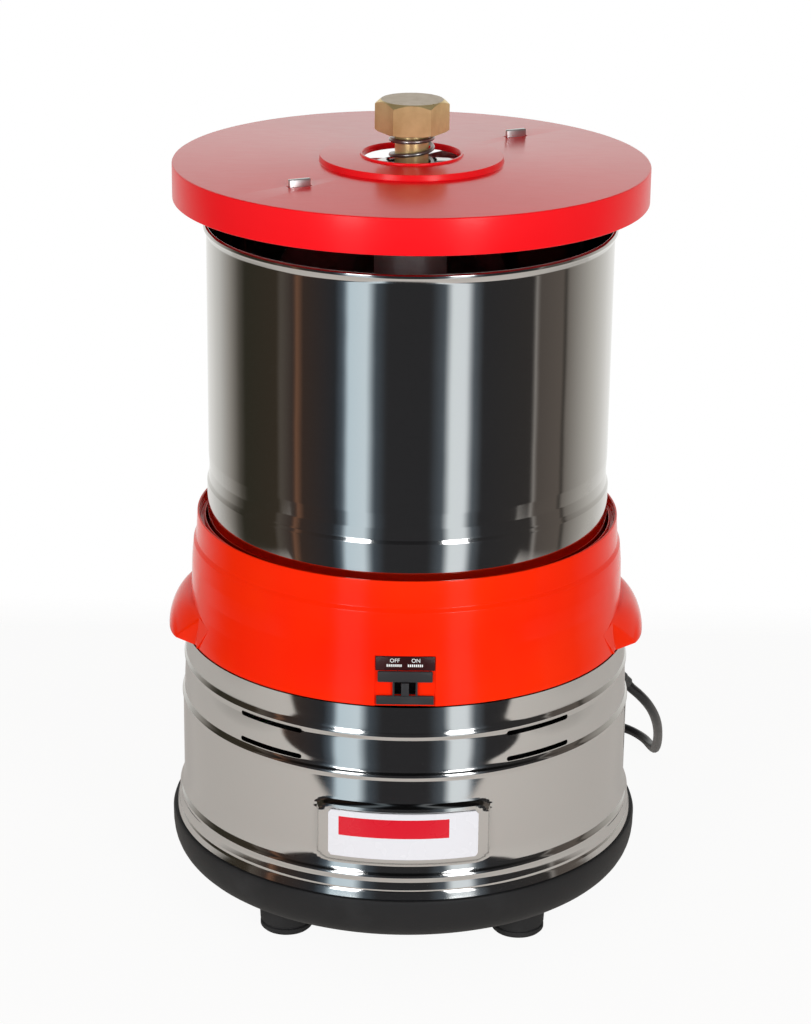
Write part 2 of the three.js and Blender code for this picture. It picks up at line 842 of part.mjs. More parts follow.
function tubeSealGeometry() {
  const lip = tube.outer - tube.wall - clearance;
  return revolve([
    [shaftRadius + runningGap / 2, tubeTop - tube.sealHeight],
    [lip, tubeTop - tube.sealHeight],
    [lip, tubeTop + clearance],
    [tube.outer, tubeTop + clearance],
    [tube.outer, tubeTop + clearance + tube.wall],
    [shaftRadius + runningGap / 2, tubeTop + clearance + tube.wall],
  ], smallSides);
}

const baseStone = { thickness: 17.2, ease: 0.5, edge: 7.5 };
const stoneTop = tubeBottom + baseStone.thickness;

function baseStoneGeometry() {
  const outer = drumInner - baseStone.ease;
  const bore = tube.outer + baseStone.ease;
  return revolve([
    [bore, tubeBottom],
    [outer - baseStone.edge, tubeBottom],
    [outer, tubeBottom + baseStone.edge],
    [outer, stoneTop],
    [bore, stoneTop],
  ], innerSides);
}

// Driven pulley, motor pulley and belt
const pulley = {
  motorGap: 2.5,
  motorRadius: 9.5,
  width: 13,
  inset: 1.3,
  rim: 4,
  web: 4,
  hubRadius: 31,
  holeCount: 6,
  holeEase: 4,
  flangeRise: 3,
  flangeThickness: 1.2,
};
const pulleyRadius = motorOffset - pulley.motorRadius - pulley.flangeRise - pulley.motorGap;
const belt = { width: 10, thickness: 2.2, arcSteps: 14 };
const pulleyBottom = seatBottom + pulley.inset;
const pulleyTop = pulleyBottom + pulley.width;
const pulleyMiddle = (pulleyBottom + pulleyTop) / 2;

function drivenPulleyGeometry() {
  const bore = seat.hubRadius + clearance;
  const rimInner = pulleyRadius - pulley.rim;
  const webLow = pulleyMiddle - pulley.web / 2;
  const webHigh = pulleyMiddle + pulley.web / 2;
  const wheel = revolve([
    [bore, pulleyBottom],
    [pulley.hubRadius, pulleyBottom],
    [pulley.hubRadius, webLow],
    [rimInner, webLow],
    [rimInner, pulleyBottom],
    [pulleyRadius, pulleyBottom],
    [pulleyRadius, pulleyTop],
    [rimInner, pulleyTop],
    [rimInner, webHigh],
    [pulley.hubRadius, webHigh],
    [pulley.hubRadius, pulleyTop],
    [bore, pulleyTop],
  ], innerSides);
  const holeRing = (pulley.hubRadius + rimInner) / 2;
  const holeRadius = (rimInner - pulley.hubRadius) / 2 - pulley.holeEase;
  const holes = Array.from({ length: pulley.holeCount }, (_, i) =>
    rod(holeRadius, webLow - overrun, webHigh + overrun, tinySides)
      .translate(holeRing, 0, 0)
      .rotateZ((i * turn) / pulley.holeCount));
  return cut(wheel, ...holes);
}

const motorShaft = { radius: 5.7, topRun: 1 };

function motorPulleyGeometry() {
  const bore = motorShaft.radius + clearance;
  const flange = pulley.motorRadius + pulley.flangeRise;
  return revolve([
    [bore, pulleyBottom],
    [flange, pulleyBottom],
    [flange, pulleyBottom + pulley.flangeThickness],
    [pulley.motorRadius, pulleyBottom + pulley.flangeThickness],
    [pulley.motorRadius, pulleyTop - pulley.flangeThickness],
    [flange, pulleyTop - pulley.flangeThickness],
    [flange, pulleyTop],
    [bore, pulleyTop],
  ], smallSides).translate(0, motorOffset, 0);
}

// The loop that runs round both pulleys at a distance from their faces.
function beltLoop(Path, away) {
  const wide = pulleyRadius + away;
  const narrow = pulley.motorRadius + away;
  const spread = Math.acos((wide - narrow) / motorOffset);
  const loop = new Path();
  loop.absarc(0, 0, wide, turn / 4 + spread, turn / 4 - spread + turn, false);
  loop.absarc(0, motorOffset, narrow, turn / 4 - spread, turn / 4 + spread, false);
  return loop;
}

function beltGeometry() {
  const shape = beltLoop(THREE.Shape, clearance + belt.thickness);
  shape.holes.push(beltLoop(THREE.Path, clearance));
  return prism(shape, pulleyMiddle - belt.width / 2, pulleyMiddle + belt.width / 2, belt.arcSteps);
}

// Motor: stator between two end brackets, hung under the deck
const motor = {
  bracketHeight: 24,
  bracketWall: 3,
  bracketPlate: 4,
  bossRadius: 15,
  bossHeight: 11,
  shaftHole: 7,
  windowWidth: 22,
  windowHeight: 10,
  statorHeight: 42,
  boreRadius: 23,
  rotorRadius: 22.5,
  slotCount: 12,
  slotDepth: 9,
  slotWidth: 5,
  windingEase: 2,
  windingHeight: 11,
  rotorOverlap: 1,
  bearingOuter: 11,
  bearingWidth: 7,
  bearingLip: 2,
};
const fan = {
  radius: 33,
  discThickness: 2,
  bladeHeight: 11,
  bladeThickness: 1.8,
  bladeCount: 8,
  hubRadius: 10,
  drop: 2,
};
const motorTop = deckBottom - clearance;
const statorTop = motorTop - motor.bracketHeight - clearance;
const statorBottom = statorTop - motor.statorHeight;
const motorBottom = statorBottom - clearance - motor.bracketHeight;
const fanTop = motorBottom - fan.drop;
const fanBottom = fanTop - fan.bladeHeight - fan.discThickness;

// An end bracket drawn as the top one; the bottom one is the same piece turned over.
function bracketGeometry() {
  const pocket = motor.bearingOuter + clearance;
  const inner = motorRadius - motor.bracketWall;
  const cup = revolve([
    [motor.shaftHole, 0],
    [motor.shaftHole, -motor.bearingLip],
    [pocket, -motor.bearingLip],
    [pocket, -motor.bossHeight],
    [motor.bossRadius, -motor.bossHeight],
    [motor.bossRadius, -motor.bracketPlate],
    [inner, -motor.bracketPlate],
    [inner, -motor.bracketHeight],
    [motorRadius, -motor.bracketHeight],
    [motorRadius, 0],
  ], innerSides);
  const middle = -motor.bracketPlate - (motor.bracketHeight - motor.bracketPlate) / 2;
  const low = middle - motor.windowHeight / 2;
  const high = middle + motor.windowHeight / 2;
  const half = motor.windowWidth / 2;
  const windows = [0, 1, 2, 3].map((side) =>
    block([inner - overrun, -half, low], [motorRadius + overrun, half, high]).rotateZ((side * turn) / 4));
  return cut(cup, ...windows);
}

function statorGeometry() {
  const slots = Array.from({ length: motor.slotCount }, (_, i) => {
    const low = [motor.boreRadius - overrun, -motor.slotWidth / 2, statorBottom - overrun];
    const high = [motor.boreRadius + motor.slotDepth, motor.slotWidth / 2, statorTop + overrun];
    return block(low, high).rotateZ((i * turn) / motor.slotCount);
  });
  return cut(ring(motor.boreRadius, motorRadius, statorBottom, statorTop, innerSides), ...slots)
    .translate(0, motorOffset, 0);
}

// A winding head: a rounded ring of wire.
function windingGeometry(bottom) {
  const height = motor.windingHeight;
  const inner = motor.boreRadius + motor.windingEase;
  const outer = motorRadius - motor.bracketWall - motor.windingEase;
  const edge = (outer - inner) / 4;
  return revolve([
    [inner + edge, bottom],
    [outer - edge, bottom],
    [outer, bottom + edge],
    [outer, bottom + height - edge],
    [outer - edge, bottom + height],
    [inner + edge, bottom + height],
    [inner, bottom + height - edge],
    [inner, bottom + edge],
  ], smallSides).translate(0, motorOffset, 0);
}

function fanGeometry() {
  const bore = motorShaft.radius + clearance;
  const disc = revolve([
    [bore, fanBottom],
    [fan.hubRadius, fanBottom],
    [fan.hubRadius, fanTop - fan.discThickness],
    [fan.radius, fanTop - fan.discThickness],
    [fan.radius, fanTop],
    [bore, fanTop],
  ], smallSides);
  const blades = Array.from({ length: fan.bladeCount }, (_, i) => {
    const low = [fan.hubRadius - fan.bladeThickness, -fan.bladeThickness / 2, fanBottom];
    const high = [fan.radius - fan.bladeThickness, fan.bladeThickness / 2, fanTop - fan.discThickness / 2];
    return block(low, high).rotateZ((i * turn) / fan.bladeCount);
  });
  return join(disc, ...blades).translate(0, motorOffset, 0);
}

// Run capacitor and terminal block, hung under the deck on both sides of the shaft
const capacitor = { radius: 17, length: 56, crimp: 1.2, neck: 3, terminal: 5, x: -72, y: -12 };
const terminals = {
  width: 18,
  length: 46,
  height: 15,
  gapWidth: 4,
  gapDepth: 8,
  gapCount: 5,
  pitch: 8,
  x: 76,
  y: -14,
};

function capacitorGeometry() {
  const top = deckBottom - clearance;
  const bottom = top - capacitor.length;
  return revolve([
    [0, bottom - capacitor.neck - capacitor.terminal],
    [capacitor.terminal, bottom - capacitor.neck - capacitor.terminal],
    [capacitor.terminal, bottom],
    [capacitor.radius - capacitor.crimp, bottom],
    [capacitor.radius - capacitor.crimp, bottom + capacitor.neck],
    [capacitor.radius, bottom + capacitor.neck + capacitor.crimp],
    [capacitor.radius, top],
    [0, top],
  ], smallSides).translate(capacitor.x, capacitor.y, 0);
}

function terminalBlockGeometry() {
  const top = deckBottom - clearance;
  const { x, y, width, length, height, gapCount, pitch, gapWidth, gapDepth } = terminals;
  const body = block([x - width / 2, y - length / 2, top - height], [x + width / 2, y + length / 2, top]);
  const gaps = Array.from({ length: gapCount }, (_, i) => {
    const middle = y + (i - (gapCount - 1) / 2) * pitch;
    const low = [x - width / 2 - overrun, middle - gapWidth / 2, top - height - overrun];
    const high = [x + width / 2 + overrun, middle + gapWidth / 2, top - height + gapDepth];
    return block(low, high);
  });
  return cut(body, ...gaps);
}

// Roller stones and what carries them. The holder stands turned, as the photographed one does.
const holderTurn = radians(25);
const roller = { wallRoom: 25.2, edgeShare: 0.4563, inner: 26, chamfer: 2, boreRadius: 12.3 };
const rollerRadius = drumInner * roller.edgeShare;
const rollerOuter = drumInner - roller.wallRoom;
const bush = { flangeRadius: 17, ease: 0.4 };
const axle = { radius: 8, headRadius: 14, headThickness: 5, rootInset: 4 };
const holder = {
  halfWidth: 20,
  halfDepth: 19,
  blockBelow: 33,
  blockAbove: 29,
  neckRadius: 19,
  overDrum: 26.0,
  boreRadius: 15.5,
  pocketRadius: 13.2,
  pocketDepth: 18.4,
  pocketFloor: 14,
};
const axleHeight = stoneTop + clearance + rollerRadius;
const holderTop = drumTop + holder.overDrum;
const holderShoulder = tubeTop + tube.wall + clearance + runningGap;
const shaftTop = holderTop - holder.pocketDepth - holder.pocketFloor;
const pocketFloor = holderTop - holder.pocketDepth;

// Tension bolt, its washer, the spring and the spring's seat
const bolt = {
  acrossFlats: 33.4,
  headHeight: 16.4,
  topRadius: 16.2,
  chamferHeight: 2.4,
  barrelRadius: 8.8,
  barrelLength: 38,
  boreDepth: 44,
};
const spring = {
  wireRadius: 1.1,
  coilRadius: 10.9,
  length: 36.2,
  closedDrop: 1.7,
  closedTurns: 0.75,
  activeTurns: 3.75,
  stepsInTurn: 8,
  sides: 5,
};
const washer = { thickness: 1, seatThickness: 2, outer: 12 };
const seatTop = pocketFloor + clearance + washer.seatThickness;
const springBottom = seatTop + clearance;
const washerBottom = springBottom + spring.length + clearance;
const boltHeadBottom = washerBottom + washer.thickness + clearance;
const barrelClear = bolt.barrelRadius + clearance;

function centreShaftGeometry() {
  const body = revolve([
    [0, shaftBottom],
    [shaftRadius, shaftBottom],
    [shaftRadius, shaftTop],
    [shaft.studRadius, shaftTop],
    [shaft.studRadius, shaftTop + shaft.studLength],
    [0, shaftTop + shaft.studLength],
  ], smallSides);
  const flats = [-1, 1].map((side) => {
    const near = side * shaft.keyHalfWidth;
    const far = side * (shaftRadius + overrun);
    return block(
      [-shaftRadius - overrun, Math.min(near, far), holderShoulder],
      [shaftRadius + overrun, Math.max(near, far), shaftTop + overrun],
    );
  });
  const stud = rod(shaft.studRadius, shaftTop - overrun, shaftTop + shaft.studLength);
  return join(cut(body, ...flats), stud).rotateZ(holderTurn);
}

function towerGeometry() {
  const blockLow = axleHeight - holder.blockBelow;
  const blockHigh = axleHeight + holder.blockAbove;
  const { halfWidth, halfDepth } = holder;
  const neck = rod(holder.neckRadius, blockLow, holderTop);
  const outline = roundedRectangle(2 * halfWidth, 2 * halfDepth, halfWidth / 4);
  const body = prism(outline, blockLow, blockHigh, cornerSteps);
  const keyWay = overlapOf(
    rod(shaftBore, holderShoulder - overrun, holderTop),
    block(
      [-shaftBore, -shaft.keyHalfWidth - clearance, holderShoulder - overrun],
      [shaftBore, shaft.keyHalfWidth + clearance, holderTop],
    ),
  );
  const axleHole = rod(axle.radius + clearance, -halfWidth - overrun, halfWidth + overrun)
    .rotateY(turn / 4)
    .translate(0, 0, axleHeight);
  return cut(
    join(body, neck),
    rod(holder.boreRadius, blockLow - overrun, holderShoulder),
    keyWay,
    rod(barrelClear, shaftTop + clearance, holderTop + overrun),
    rod(holder.pocketRadius, pocketFloor, holderTop + overrun),
    axleHole,
  );
}

// Lays a piece that is drawn about the Z axis along the axle on one side of the tower.
function alongAxle(geometry, side) {
  return geometry.rotateY((side * turn) / 4).translate(0, 0, axleHeight);
}

function rollerStoneGeometry(side) {
  const { chamfer, boreRadius } = roller;
  return alongAxle(revolve([
    [boreRadius, roller.inner],
    [rollerRadius - chamfer, roller.inner],
    [rollerRadius, roller.inner + chamfer],
    [rollerRadius, rollerOuter - chamfer],
    [rollerRadius - chamfer, rollerOuter],
    [boreRadius, rollerOuter],
  ], innerSides), side);
}

const bushInner = axle.radius + clearance;
const bushEnd = rollerOuter + bush.ease;

function bushGeometry(side) {
  const flangeStart = holder.halfWidth + clearance;
  return alongAxle(revolve([
    [bushInner, flangeStart],
    [bush.flangeRadius, flangeStart],
    [bush.flangeRadius, roller.inner - clearance],
    [roller.boreRadius - clearance, roller.inner - clearance],
    [roller.boreRadius - clearance, bushEnd],
    [bushInner, bushEnd],
  ], smallSides), side);
}

function axleGeometry(side) {
  const headStart = bushEnd + clearance;
  const edge = axle.headThickness / 4;
  return alongAxle(revolve([
    [0, holder.halfWidth - axle.rootInset],
    [axle.radius, holder.halfWidth - axle.rootInset],
    [axle.radius, headStart],
    [axle.headRadius, headStart],
    [axle.headRadius, headStart + axle.headThickness - edge],
    [axle.headRadius - edge, headStart + axle.headThickness],
    [0, headStart + axle.headThickness],
  ], smallSides), side);
}

// Scraper: an arm on the tower's face and a blade that follows the drum's wall
const scraper = {
  armWidth: 12,
  armThickness: 3,
  armHeight: 12,
  bladeDepth: 9,
  bladeThickness: 4,
  bladeHeight: 80,
  wallGap: 0.8,
};
const bladeOuter = drumInner - scraper.wallGap;
const bladeBottom = stoneTop + runningGap;

function scraperArmGeometry() {
  const start = holder.halfDepth + clearance;
  const end = bladeOuter - scraper.bladeDepth - clearance;
  const half = scraper.armWidth / 2;
  const thick = scraper.armThickness;
  const low = bladeBottom + scraper.bladeHeight / 3;
  const high = low + scraper.armHeight;
  return join(
    block([-half, -start - thick, low], [half, -start, high]),
    block([-thick / 2, -end, low], [thick / 2, -start - clearance, high]),
    block([-half, -end, low], [half, -end + thick, high]),
  );
}

function scraperBladeGeometry() {
  const half = scraper.bladeThickness / 2;
  const edge = scraper.bladeDepth / 3;
  return prism(polygon([
    [-half, -bladeOuter + scraper.bladeDepth],
    [-half, -bladeOuter + edge],
    [0, -bladeOuter],
    [half, -bladeOuter + edge],
    [half, -bladeOuter + scraper.bladeDepth],
  ]), bladeBottom, bladeBottom + scraper.bladeHeight);
}

// Tab bar: a steel strip on top of the tower whose ends stand up through the lid as two tabs
const tabBar = {
  width: 30,
  thickness: 2.5,
  tabRing: 82.6,
  tabDegrees: 47.5,
  tabWidth: 11.5,
  tabThickness: 2.7,
  tabStand: 5.5,
  endMargin: 5,
};
const tabBarBottom = holderTop + clearance;
const tabBarTop = tabBarBottom + tabBar.thickness;

// Bridge: a polished ring with two arms, on the tab bar and under the lid's raised middle
const bridge = {
  ringRadius: 18,
  ringHeight: 2,
  height: 3.8,
  halfLength: 43,
  flatHalf: 4,
  halfWidth: 9,
  edgeShare: 0.3,
  shoulderShare: 0.78,
  degrees: 6,
};
const bridgeBottom = tabBarTop + clearance;
const bridgeTop = bridgeBottom + bridge.height;

// Lid: a red moulding with a skirt, a raised middle and a beaded hole for the bolt
const lid = {
  skirt: 18.7,
  wall: 2.3,
  edgeRadius: 4,
  middleRadius: 47.6,
  middleRise: 3.1,
  middleSlope: 1.4,
  holeRadius: 26.5,
  beadWidth: 3,
  beadRise: 1.3,
  slotEase: 0.7,
  roundShare: 0.3,
  innerRoundShare: 0.6,
  beadInnerShare: 0.2,
  beadOuterShare: 0.7,
};
const lidMiddleTop = bridgeTop + clearance + lid.wall;
const lidTop = lidMiddleTop - lid.middleRise;
const lidBottom = lidTop - lid.skirt;

// A tab, or with ease the slot that lets it through, on one side of the lid.
function tabBlock(side, ease, bottom, top) {
  const place = radians(tabBar.tabDegrees);
  const halfWidth = tabBar.tabWidth / 2 + ease;
  const halfThick = tabBar.tabThickness / 2 + ease;
  return block([-halfWidth, -halfThick, bottom], [halfWidth, halfThick, top])
    .rotateZ(holderTurn)
    .translate(side * tabBar.tabRing * Math.cos(place), side * tabBar.tabRing * Math.sin(place), 0);
}

function tabBarGeometry() {
  const length = 2 * (tabBar.tabRing + tabBar.endMargin);
  const outline = roundedRectangle(length, tabBar.width, tabBar.width / 4);
  const strip = prism(outline, tabBarBottom, tabBarTop, cornerSteps).rotateZ(radians(tabBar.tabDegrees));
  const tabTop = lidTop + tabBar.tabStand;
  const tabs = [-1, 1].map((side) => tabBlock(side, 0, tabBarBottom + tabBar.thickness / 2, tabTop));
  return cut(join(strip, ...tabs), rod(holder.pocketRadius, tabBarBottom - overrun, tabBarTop + overrun));
}

function bridgeGeometry() {
  const { flatHalf, halfWidth, height, halfLength, edgeShare, shoulderShare: bevelShare } = bridge;
  const outline = polygon([
    [-halfWidth, 0],
    [halfWidth, 0],
    [halfWidth, height * edgeShare],
    [(halfWidth + flatHalf) / 2, height * bevelShare],
    [flatHalf, height],
    [-flatHalf, height],
    [-(halfWidth + flatHalf) / 2, height * bevelShare],
    [-halfWidth, height * edgeShare],
  ]);
  const arms = prism(outline, -halfLength, halfLength)
    .rotateX(turn / 4)
    .rotateZ(turn / 4 + radians(bridge.degrees))
    .translate(0, 0, bridgeBottom);
  const hub = rod(bridge.ringRadius, bridgeBottom, bridgeBottom + bridge.ringHeight);
  const hole = rod(holder.pocketRadius, bridgeBottom - overrun, bridgeTop + overrun);
  return cut(join(arms, hub), hole);
}

function lidGeometry() {
  const under = lidTop - lid.wall;
  const middleUnder = lidMiddleTop - lid.wall;
  const inner = lidRadius - lid.wall;
  const edge = lid.edgeRadius;
  const outerRound = edge * lid.roundShare;
  const innerRound = edge * lid.innerRoundShare;
  const beadTop = lidMiddleTop + lid.beadRise;
  const shell = revolve([
    [inner, lidBottom],
    [lidRadius, lidBottom],
    [lidRadius, lidTop - edge],
    [lidRadius - outerRound, lidTop - outerRound],
    [lidRadius - edge, lidTop],
    [lid.middleRadius + lid.middleSlope, lidTop],
    [lid.middleRadius, lidMiddleTop],
    [lid.holeRadius + lid.beadWidth, lidMiddleTop],
    [lid.holeRadius + lid.beadWidth * lid.beadOuterShare, beadTop],
    [lid.holeRadius + lid.beadWidth * lid.beadInnerShare, beadTop],
    [lid.holeRadius, lidMiddleTop],
    [lid.holeRadius, middleUnder],
    [lid.middleRadius - lid.wall + lid.middleSlope / 2, middleUnder],
    [lid.middleRadius - lid.wall / 2 + lid.middleSlope, under],
    [inner - innerRound, under],
    [inner, under - innerRound],
  ]);
  const slots = [-1, 1].map((side) => tabBlock(side, lid.slotEase, lidBottom, lidMiddleTop + overrun));
  return cut(shell, ...slots);
}

function springWasherGeometry() {
  return ring(barrelClear, washer.outer, washerBottom, washerBottom + washer.thickness);
}

function springSeatGeometry() {
  return ring(barrelClear, holder.pocketRadius - clearance, pocketFloor + clearance, seatTop);
}

function boltGeometry() {
  const top = boltHeadBottom + bolt.headHeight;
  const corner = bolt.acrossFlats / Math.cos(turn / 12) / 2;
  const outside = corner + overrun;
  const slope = (bolt.chamferHeight * (outside - bolt.topRadius)) / (corner - bolt.topRadius);
  const dome = revolve([
    [0, boltHeadBottom],
    [outside, boltHeadBottom],
    [outside, top - slope],
    [bolt.topRadius, top],
    [0, top],
  ], innerSides);
  const head = overlapOf(prism(hexagon(bolt.acrossFlats), boltHeadBottom, top), dome);
  const barrelBottom = boltHeadBottom - bolt.barrelLength;
  const barrel = rod(bolt.barrelRadius, barrelBottom, boltHeadBottom + bolt.headHeight / 2);
  const bore = rod(shaft.studRadius + clearance, barrelBottom - overrun, barrelBottom + bolt.boreDepth);
  return cut(join(head, barrel), bore);
}

// Tension spring: a right-hand coil with a closed part turn at each end, cut to rest flat on what it meets.
function springPoint(share) {
  const turns = 2 * spring.closedTurns + spring.activeTurns;
  const done = share * turns;
  const height = spring.length - 2 * spring.wireRadius;
  const pitch = (height - 2 * spring.closedDrop) / spring.activeTurns;
  const closedPitch = spring.closedDrop / spring.closedTurns;
  const first = Math.min(done, spring.closedTurns) * closedPitch;
  const middle = Math.min(Math.max(done - spring.closedTurns, 0), spring.activeTurns) * pitch;
  const end = Math.max(done - spring.closedTurns - spring.activeTurns, 0) * closedPitch;
  const angle = turn / 4 - done * turn;
  return new THREE.Vector3(
    spring.coilRadius * Math.cos(angle),
    spring.coilRadius * Math.sin(angle),
    springBottom + spring.wireRadius + height - first - middle - end,
  );
}

const springSteps = Math.round((2 * spring.closedTurns + spring.activeTurns) * spring.stepsInTurn);
const springPath = Array.from({ length: springSteps + 1 }, (_, i) => springPoint(i / springSteps));

function springGeometry() {
  return tubeAlong(springPath, () => spring.wireRadius, spring.sides);
}

// Strain relief: a neck through the sleeve, a flange outside it and a boot that bends down to the cord
function reliefPoint(out, down) {
  const radius = waistRadius + clearance + out;
  return new THREE.Vector3(radius * Math.cos(leadExit), radius * Math.sin(leadExit), leadHeight - down);
}

const reliefBend = radians(lead.bendDegrees);
const reliefBendShares = [0.25, 0.5, 0.75, 1];
const reliefSpots = [];
const reliefRadii = [];
const reliefTurns = [];
for (const [out, radius] of [
  [-lead.neckLength, lead.neckRadius],
  [0, lead.neckRadius],
  [0, lead.flangeRadius],
  [lead.flangeThickness, lead.flangeRadius],
  [lead.flangeThickness, lead.bootRadius],
  [lead.straight, lead.bootRadius],
]) {
  reliefSpots.push(reliefPoint(out, 0));
  reliefRadii.push(radius);
  reliefTurns.push(0);
}
for (const share of reliefBendShares) {
  const angle = share * reliefBend;
  const out = lead.straight + lead.bendRadius * Math.sin(angle);
  reliefSpots.push(reliefPoint(out, lead.bendRadius * (1 - Math.cos(angle))));
  reliefRadii.push(lead.bootRadius + (lead.tipRadius - lead.bootRadius) * share ** 2);
  reliefTurns.push(angle);
}
const bendOut = lead.bendRadius * Math.sin(reliefBend);
const bendDown = lead.bendRadius * (1 - Math.cos(reliefBend));
const tipOut = lead.straight + bendOut + lead.tipLength * Math.cos(reliefBend);
const tipDown = bendDown + lead.tipLength * Math.sin(reliefBend);
reliefSpots.push(reliefPoint(tipOut, tipDown));
reliefRadii.push(lead.tipRadius);
reliefTurns.push(reliefBend);

// The boot's rings stand square to its path, which is straight up to the bend.
function strainReliefGeometry() {
  const side = new THREE.Vector3(-Math.sin(leadExit), Math.cos(leadExit), 0);
  const outward = new THREE.Vector3(Math.cos(leadExit), Math.sin(leadExit), 0);
  const outline = Array.from({ length: tinySides }, (_, i) => {
    const angle = (i * turn) / tinySides;
    return new THREE.Vector2(Math.cos(angle), Math.sin(angle));
  });
  const rings = reliefSpots.map((spot, i) => {
    const bent = reliefTurns[i];
    const upward = new THREE.Vector3(0, 0, Math.cos(bent)).addScaledVector(outward, Math.sin(bent));
    return outline.map((place) => spot.clone()
      .addScaledVector(side, reliefRadii[i] * place.x)
      .addScaledVector(upward, reliefRadii[i] * place.y));
  });
  return skin(rings);
}

// Mains cord: a free stretch from the boot down to the floor and round the back, a coil, a tail and the plug
const cordStart = reliefPoint(
  tipOut + clearance * Math.cos(reliefBend),
  tipDown + clearance * Math.sin(reliefBend),
);
const cordFloor = 3;
const cordSteps = 4; // facets of its section are twice as many
const cordExit = new THREE.Vector3(waistRadius * Math.cos(leadExit), waistRadius * Math.sin(leadExit), 0);

// The hand-chosen points of the free stretch, across the floor from where the lead leaves the sleeve.
const cordSpots = [
  [18.13, 7.85, 91.0],
  [22.43, 10.15, 86.4],
  [27.43, 14.55, 79.6],
  [32.03, 23.05, 70.2],
  [35.83, 36.05, 58.4],
  [38.63, 52.55, 45.2],
  [40.63, 71.05, 31.6],
  [41.93, 89.55, 18.6],
  [42.33, 105.55, 8.8],
  [41.43, 120.05, 3.9],
  [37.63, 134.05, cordFloor],
  [29.53, 146.05, cordFloor],
  [17.63, 154.75, cordFloor],
  [2.03, 161.35, cordFloor],
  [-15.97, 167.55, cordFloor],
  [-33.97, 173.55, cordFloor],
  [-51.97, 178.15, cordFloor],
  [-68.97, 180.75, cordFloor],
  [-79.97, 181.35, cordFloor],
  [-86.07, 181.35, cordFloor],
];
const cordRoute = [cordStart, ...cordSpots.map((spot) => new THREE.Vector3(...spot).add(cordExit))];
const coil = {
  x: -91.97,
  y: 137.55,
  outerRadius: 43.8,
  turnPitch: 6.1,
  layerRise: 6.1,
  turns: 7,
  straightEnd: 5.6,
  climbTurns: 0.5,
  stepsInTurn: 24,
  sides: 6,
};
const tail = { length: 26 };

// The cord's coil: it spirals in on the floor, climbs a layer where it turns back, and spirals out on top.
function coilPoint(done) {
  const half = coil.turns / 2;
  const inward = half - Math.abs(done - half);
  const radius = coil.outerRadius - coil.turnPitch * inward;
  const climb = THREE.MathUtils.clamp((done - half) / coil.climbTurns + coil.climbTurns, 0, 1);
  const angle = turn / 4 + done * turn;
  return new THREE.Vector3(
    coil.x + radius * Math.cos(angle),
    coil.y + radius * Math.sin(angle),
    cordFloor + coil.layerRise * climb,
  ).add(cordExit);
}

const coilSteps = coil.turns * coil.stepsInTurn;
const coilPath = Array.from({ length: coilSteps + 1 }, (_, i) => coilPoint((i * coil.turns) / coilSteps));
const coilStart = coilPath[0].clone().add(new THREE.Vector3(coil.straightEnd, 0, 0));
const coilEnd = coilPath[coilSteps].clone().add(new THREE.Vector3(-coil.straightEnd, 0, 0));
const wholeCoil = [coilStart, ...coilPath, coilEnd];

function coilGeometry() {
  return tubeAlong(wholeCoil, () => lead.radius, coil.sides);
}

function cordGeometry() {
  const path = new THREE.CatmullRomCurve3(cordRoute);
  const section = new THREE.Shape();
  section.absarc(0, 0, lead.radius, 0, turn, false);
  const settings = { steps: wideSides, curveSegments: cordSteps, extrudePath: path };
  return new THREE.ExtrudeGeometry(section, settings);
}

const tailStart = coilEnd.clone().add(new THREE.Vector3(-clearance, 0, 0));
const tailEnd = tailStart.clone().add(new THREE.Vector3(-tail.length, 0, 0));

function tailGeometry() {
  const section = new THREE.Shape();
  section.absarc(0, 0, lead.radius, 0, turn, false);
  const path = new THREE.LineCurve3(tailStart, tailEnd);
  return new THREE.ExtrudeGeometry(section, { steps: 1, curveSegments: cordSteps, extrudePath: path });
}

// Moulded plug with two flat blades
const plug = {
  bodyLength: 24,
  bodyWidth: 24,
  bodyHeight: 17.6,
  bodyCorner: 4,
  bootLength: 18,
  bootRadius: 5.4,
  bladeLength: 17,
  bladeWidth: 6.3,
  bladeThickness: 1.5,
  bladePitch: 12.7,
};

function plugGeometry() {
  const start = tailEnd.x - clearance;
  const bodyStart = start - plug.bootLength;
  const bodyEnd = bodyStart - plug.bodyLength;
  const boot = revolve([
    [0, 0],
    [lead.tipRadius, 0],
    [plug.bootRadius, plug.bootLength],
    [plug.bootRadius, plug.bootLength + plug.bodyLength / 2],
    [0, plug.bootLength + plug.bodyLength / 2],
  ], tinySides).rotateY(-turn / 4).translate(start, 0, 0);
  const outline = roundedRectangle(plug.bodyHeight, plug.bodyWidth, plug.bodyCorner);
  const body = prism(outline, 0, plug.bodyLength, cornerSteps)
    .rotateY(-turn / 4)
    .translate(bodyStart, 0, 0);
  const blades = [-1, 1].map((side) => {
    const middle = (side * plug.bladePitch) / 2;
    return block(
      [bodyEnd - plug.bladeLength, middle - plug.bladeThickness / 2, -plug.bladeWidth / 2],
      [bodyEnd + plug.bodyLength / 2, middle + plug.bladeThickness / 2, plug.bladeWidth / 2],
    );
  });
  return join(body, boot, ...blades).translate(0, tailEnd.y, tailEnd.z);
}

// The least distance between the surfaces of a wound tube's turns, on points at least half a turn apart.
function leastGap(points, radius, stepsInTurn) {
  let least = Infinity;
  for (let i = 0; i < points.length; i++) {
    for (let j = i + Math.round(stepsInTurn / 2); j < points.length; j++) {
      least = Math.min(least, points[i].distanceTo(points[j]) - 2 * radius);
    }
  }
  return least;
}
const springGap = leastGap(springPath, spring.wireRadius, spring.stepsInTurn);
const coilGap = leastGap(wholeCoil, lead.radius, coil.stepsInTurn);
console.log("least gap of the spring's turns", springGap.toFixed(2), "mm");
console.log("least gap of the cord coil's turns", coilGap.toFixed(2), "mm");

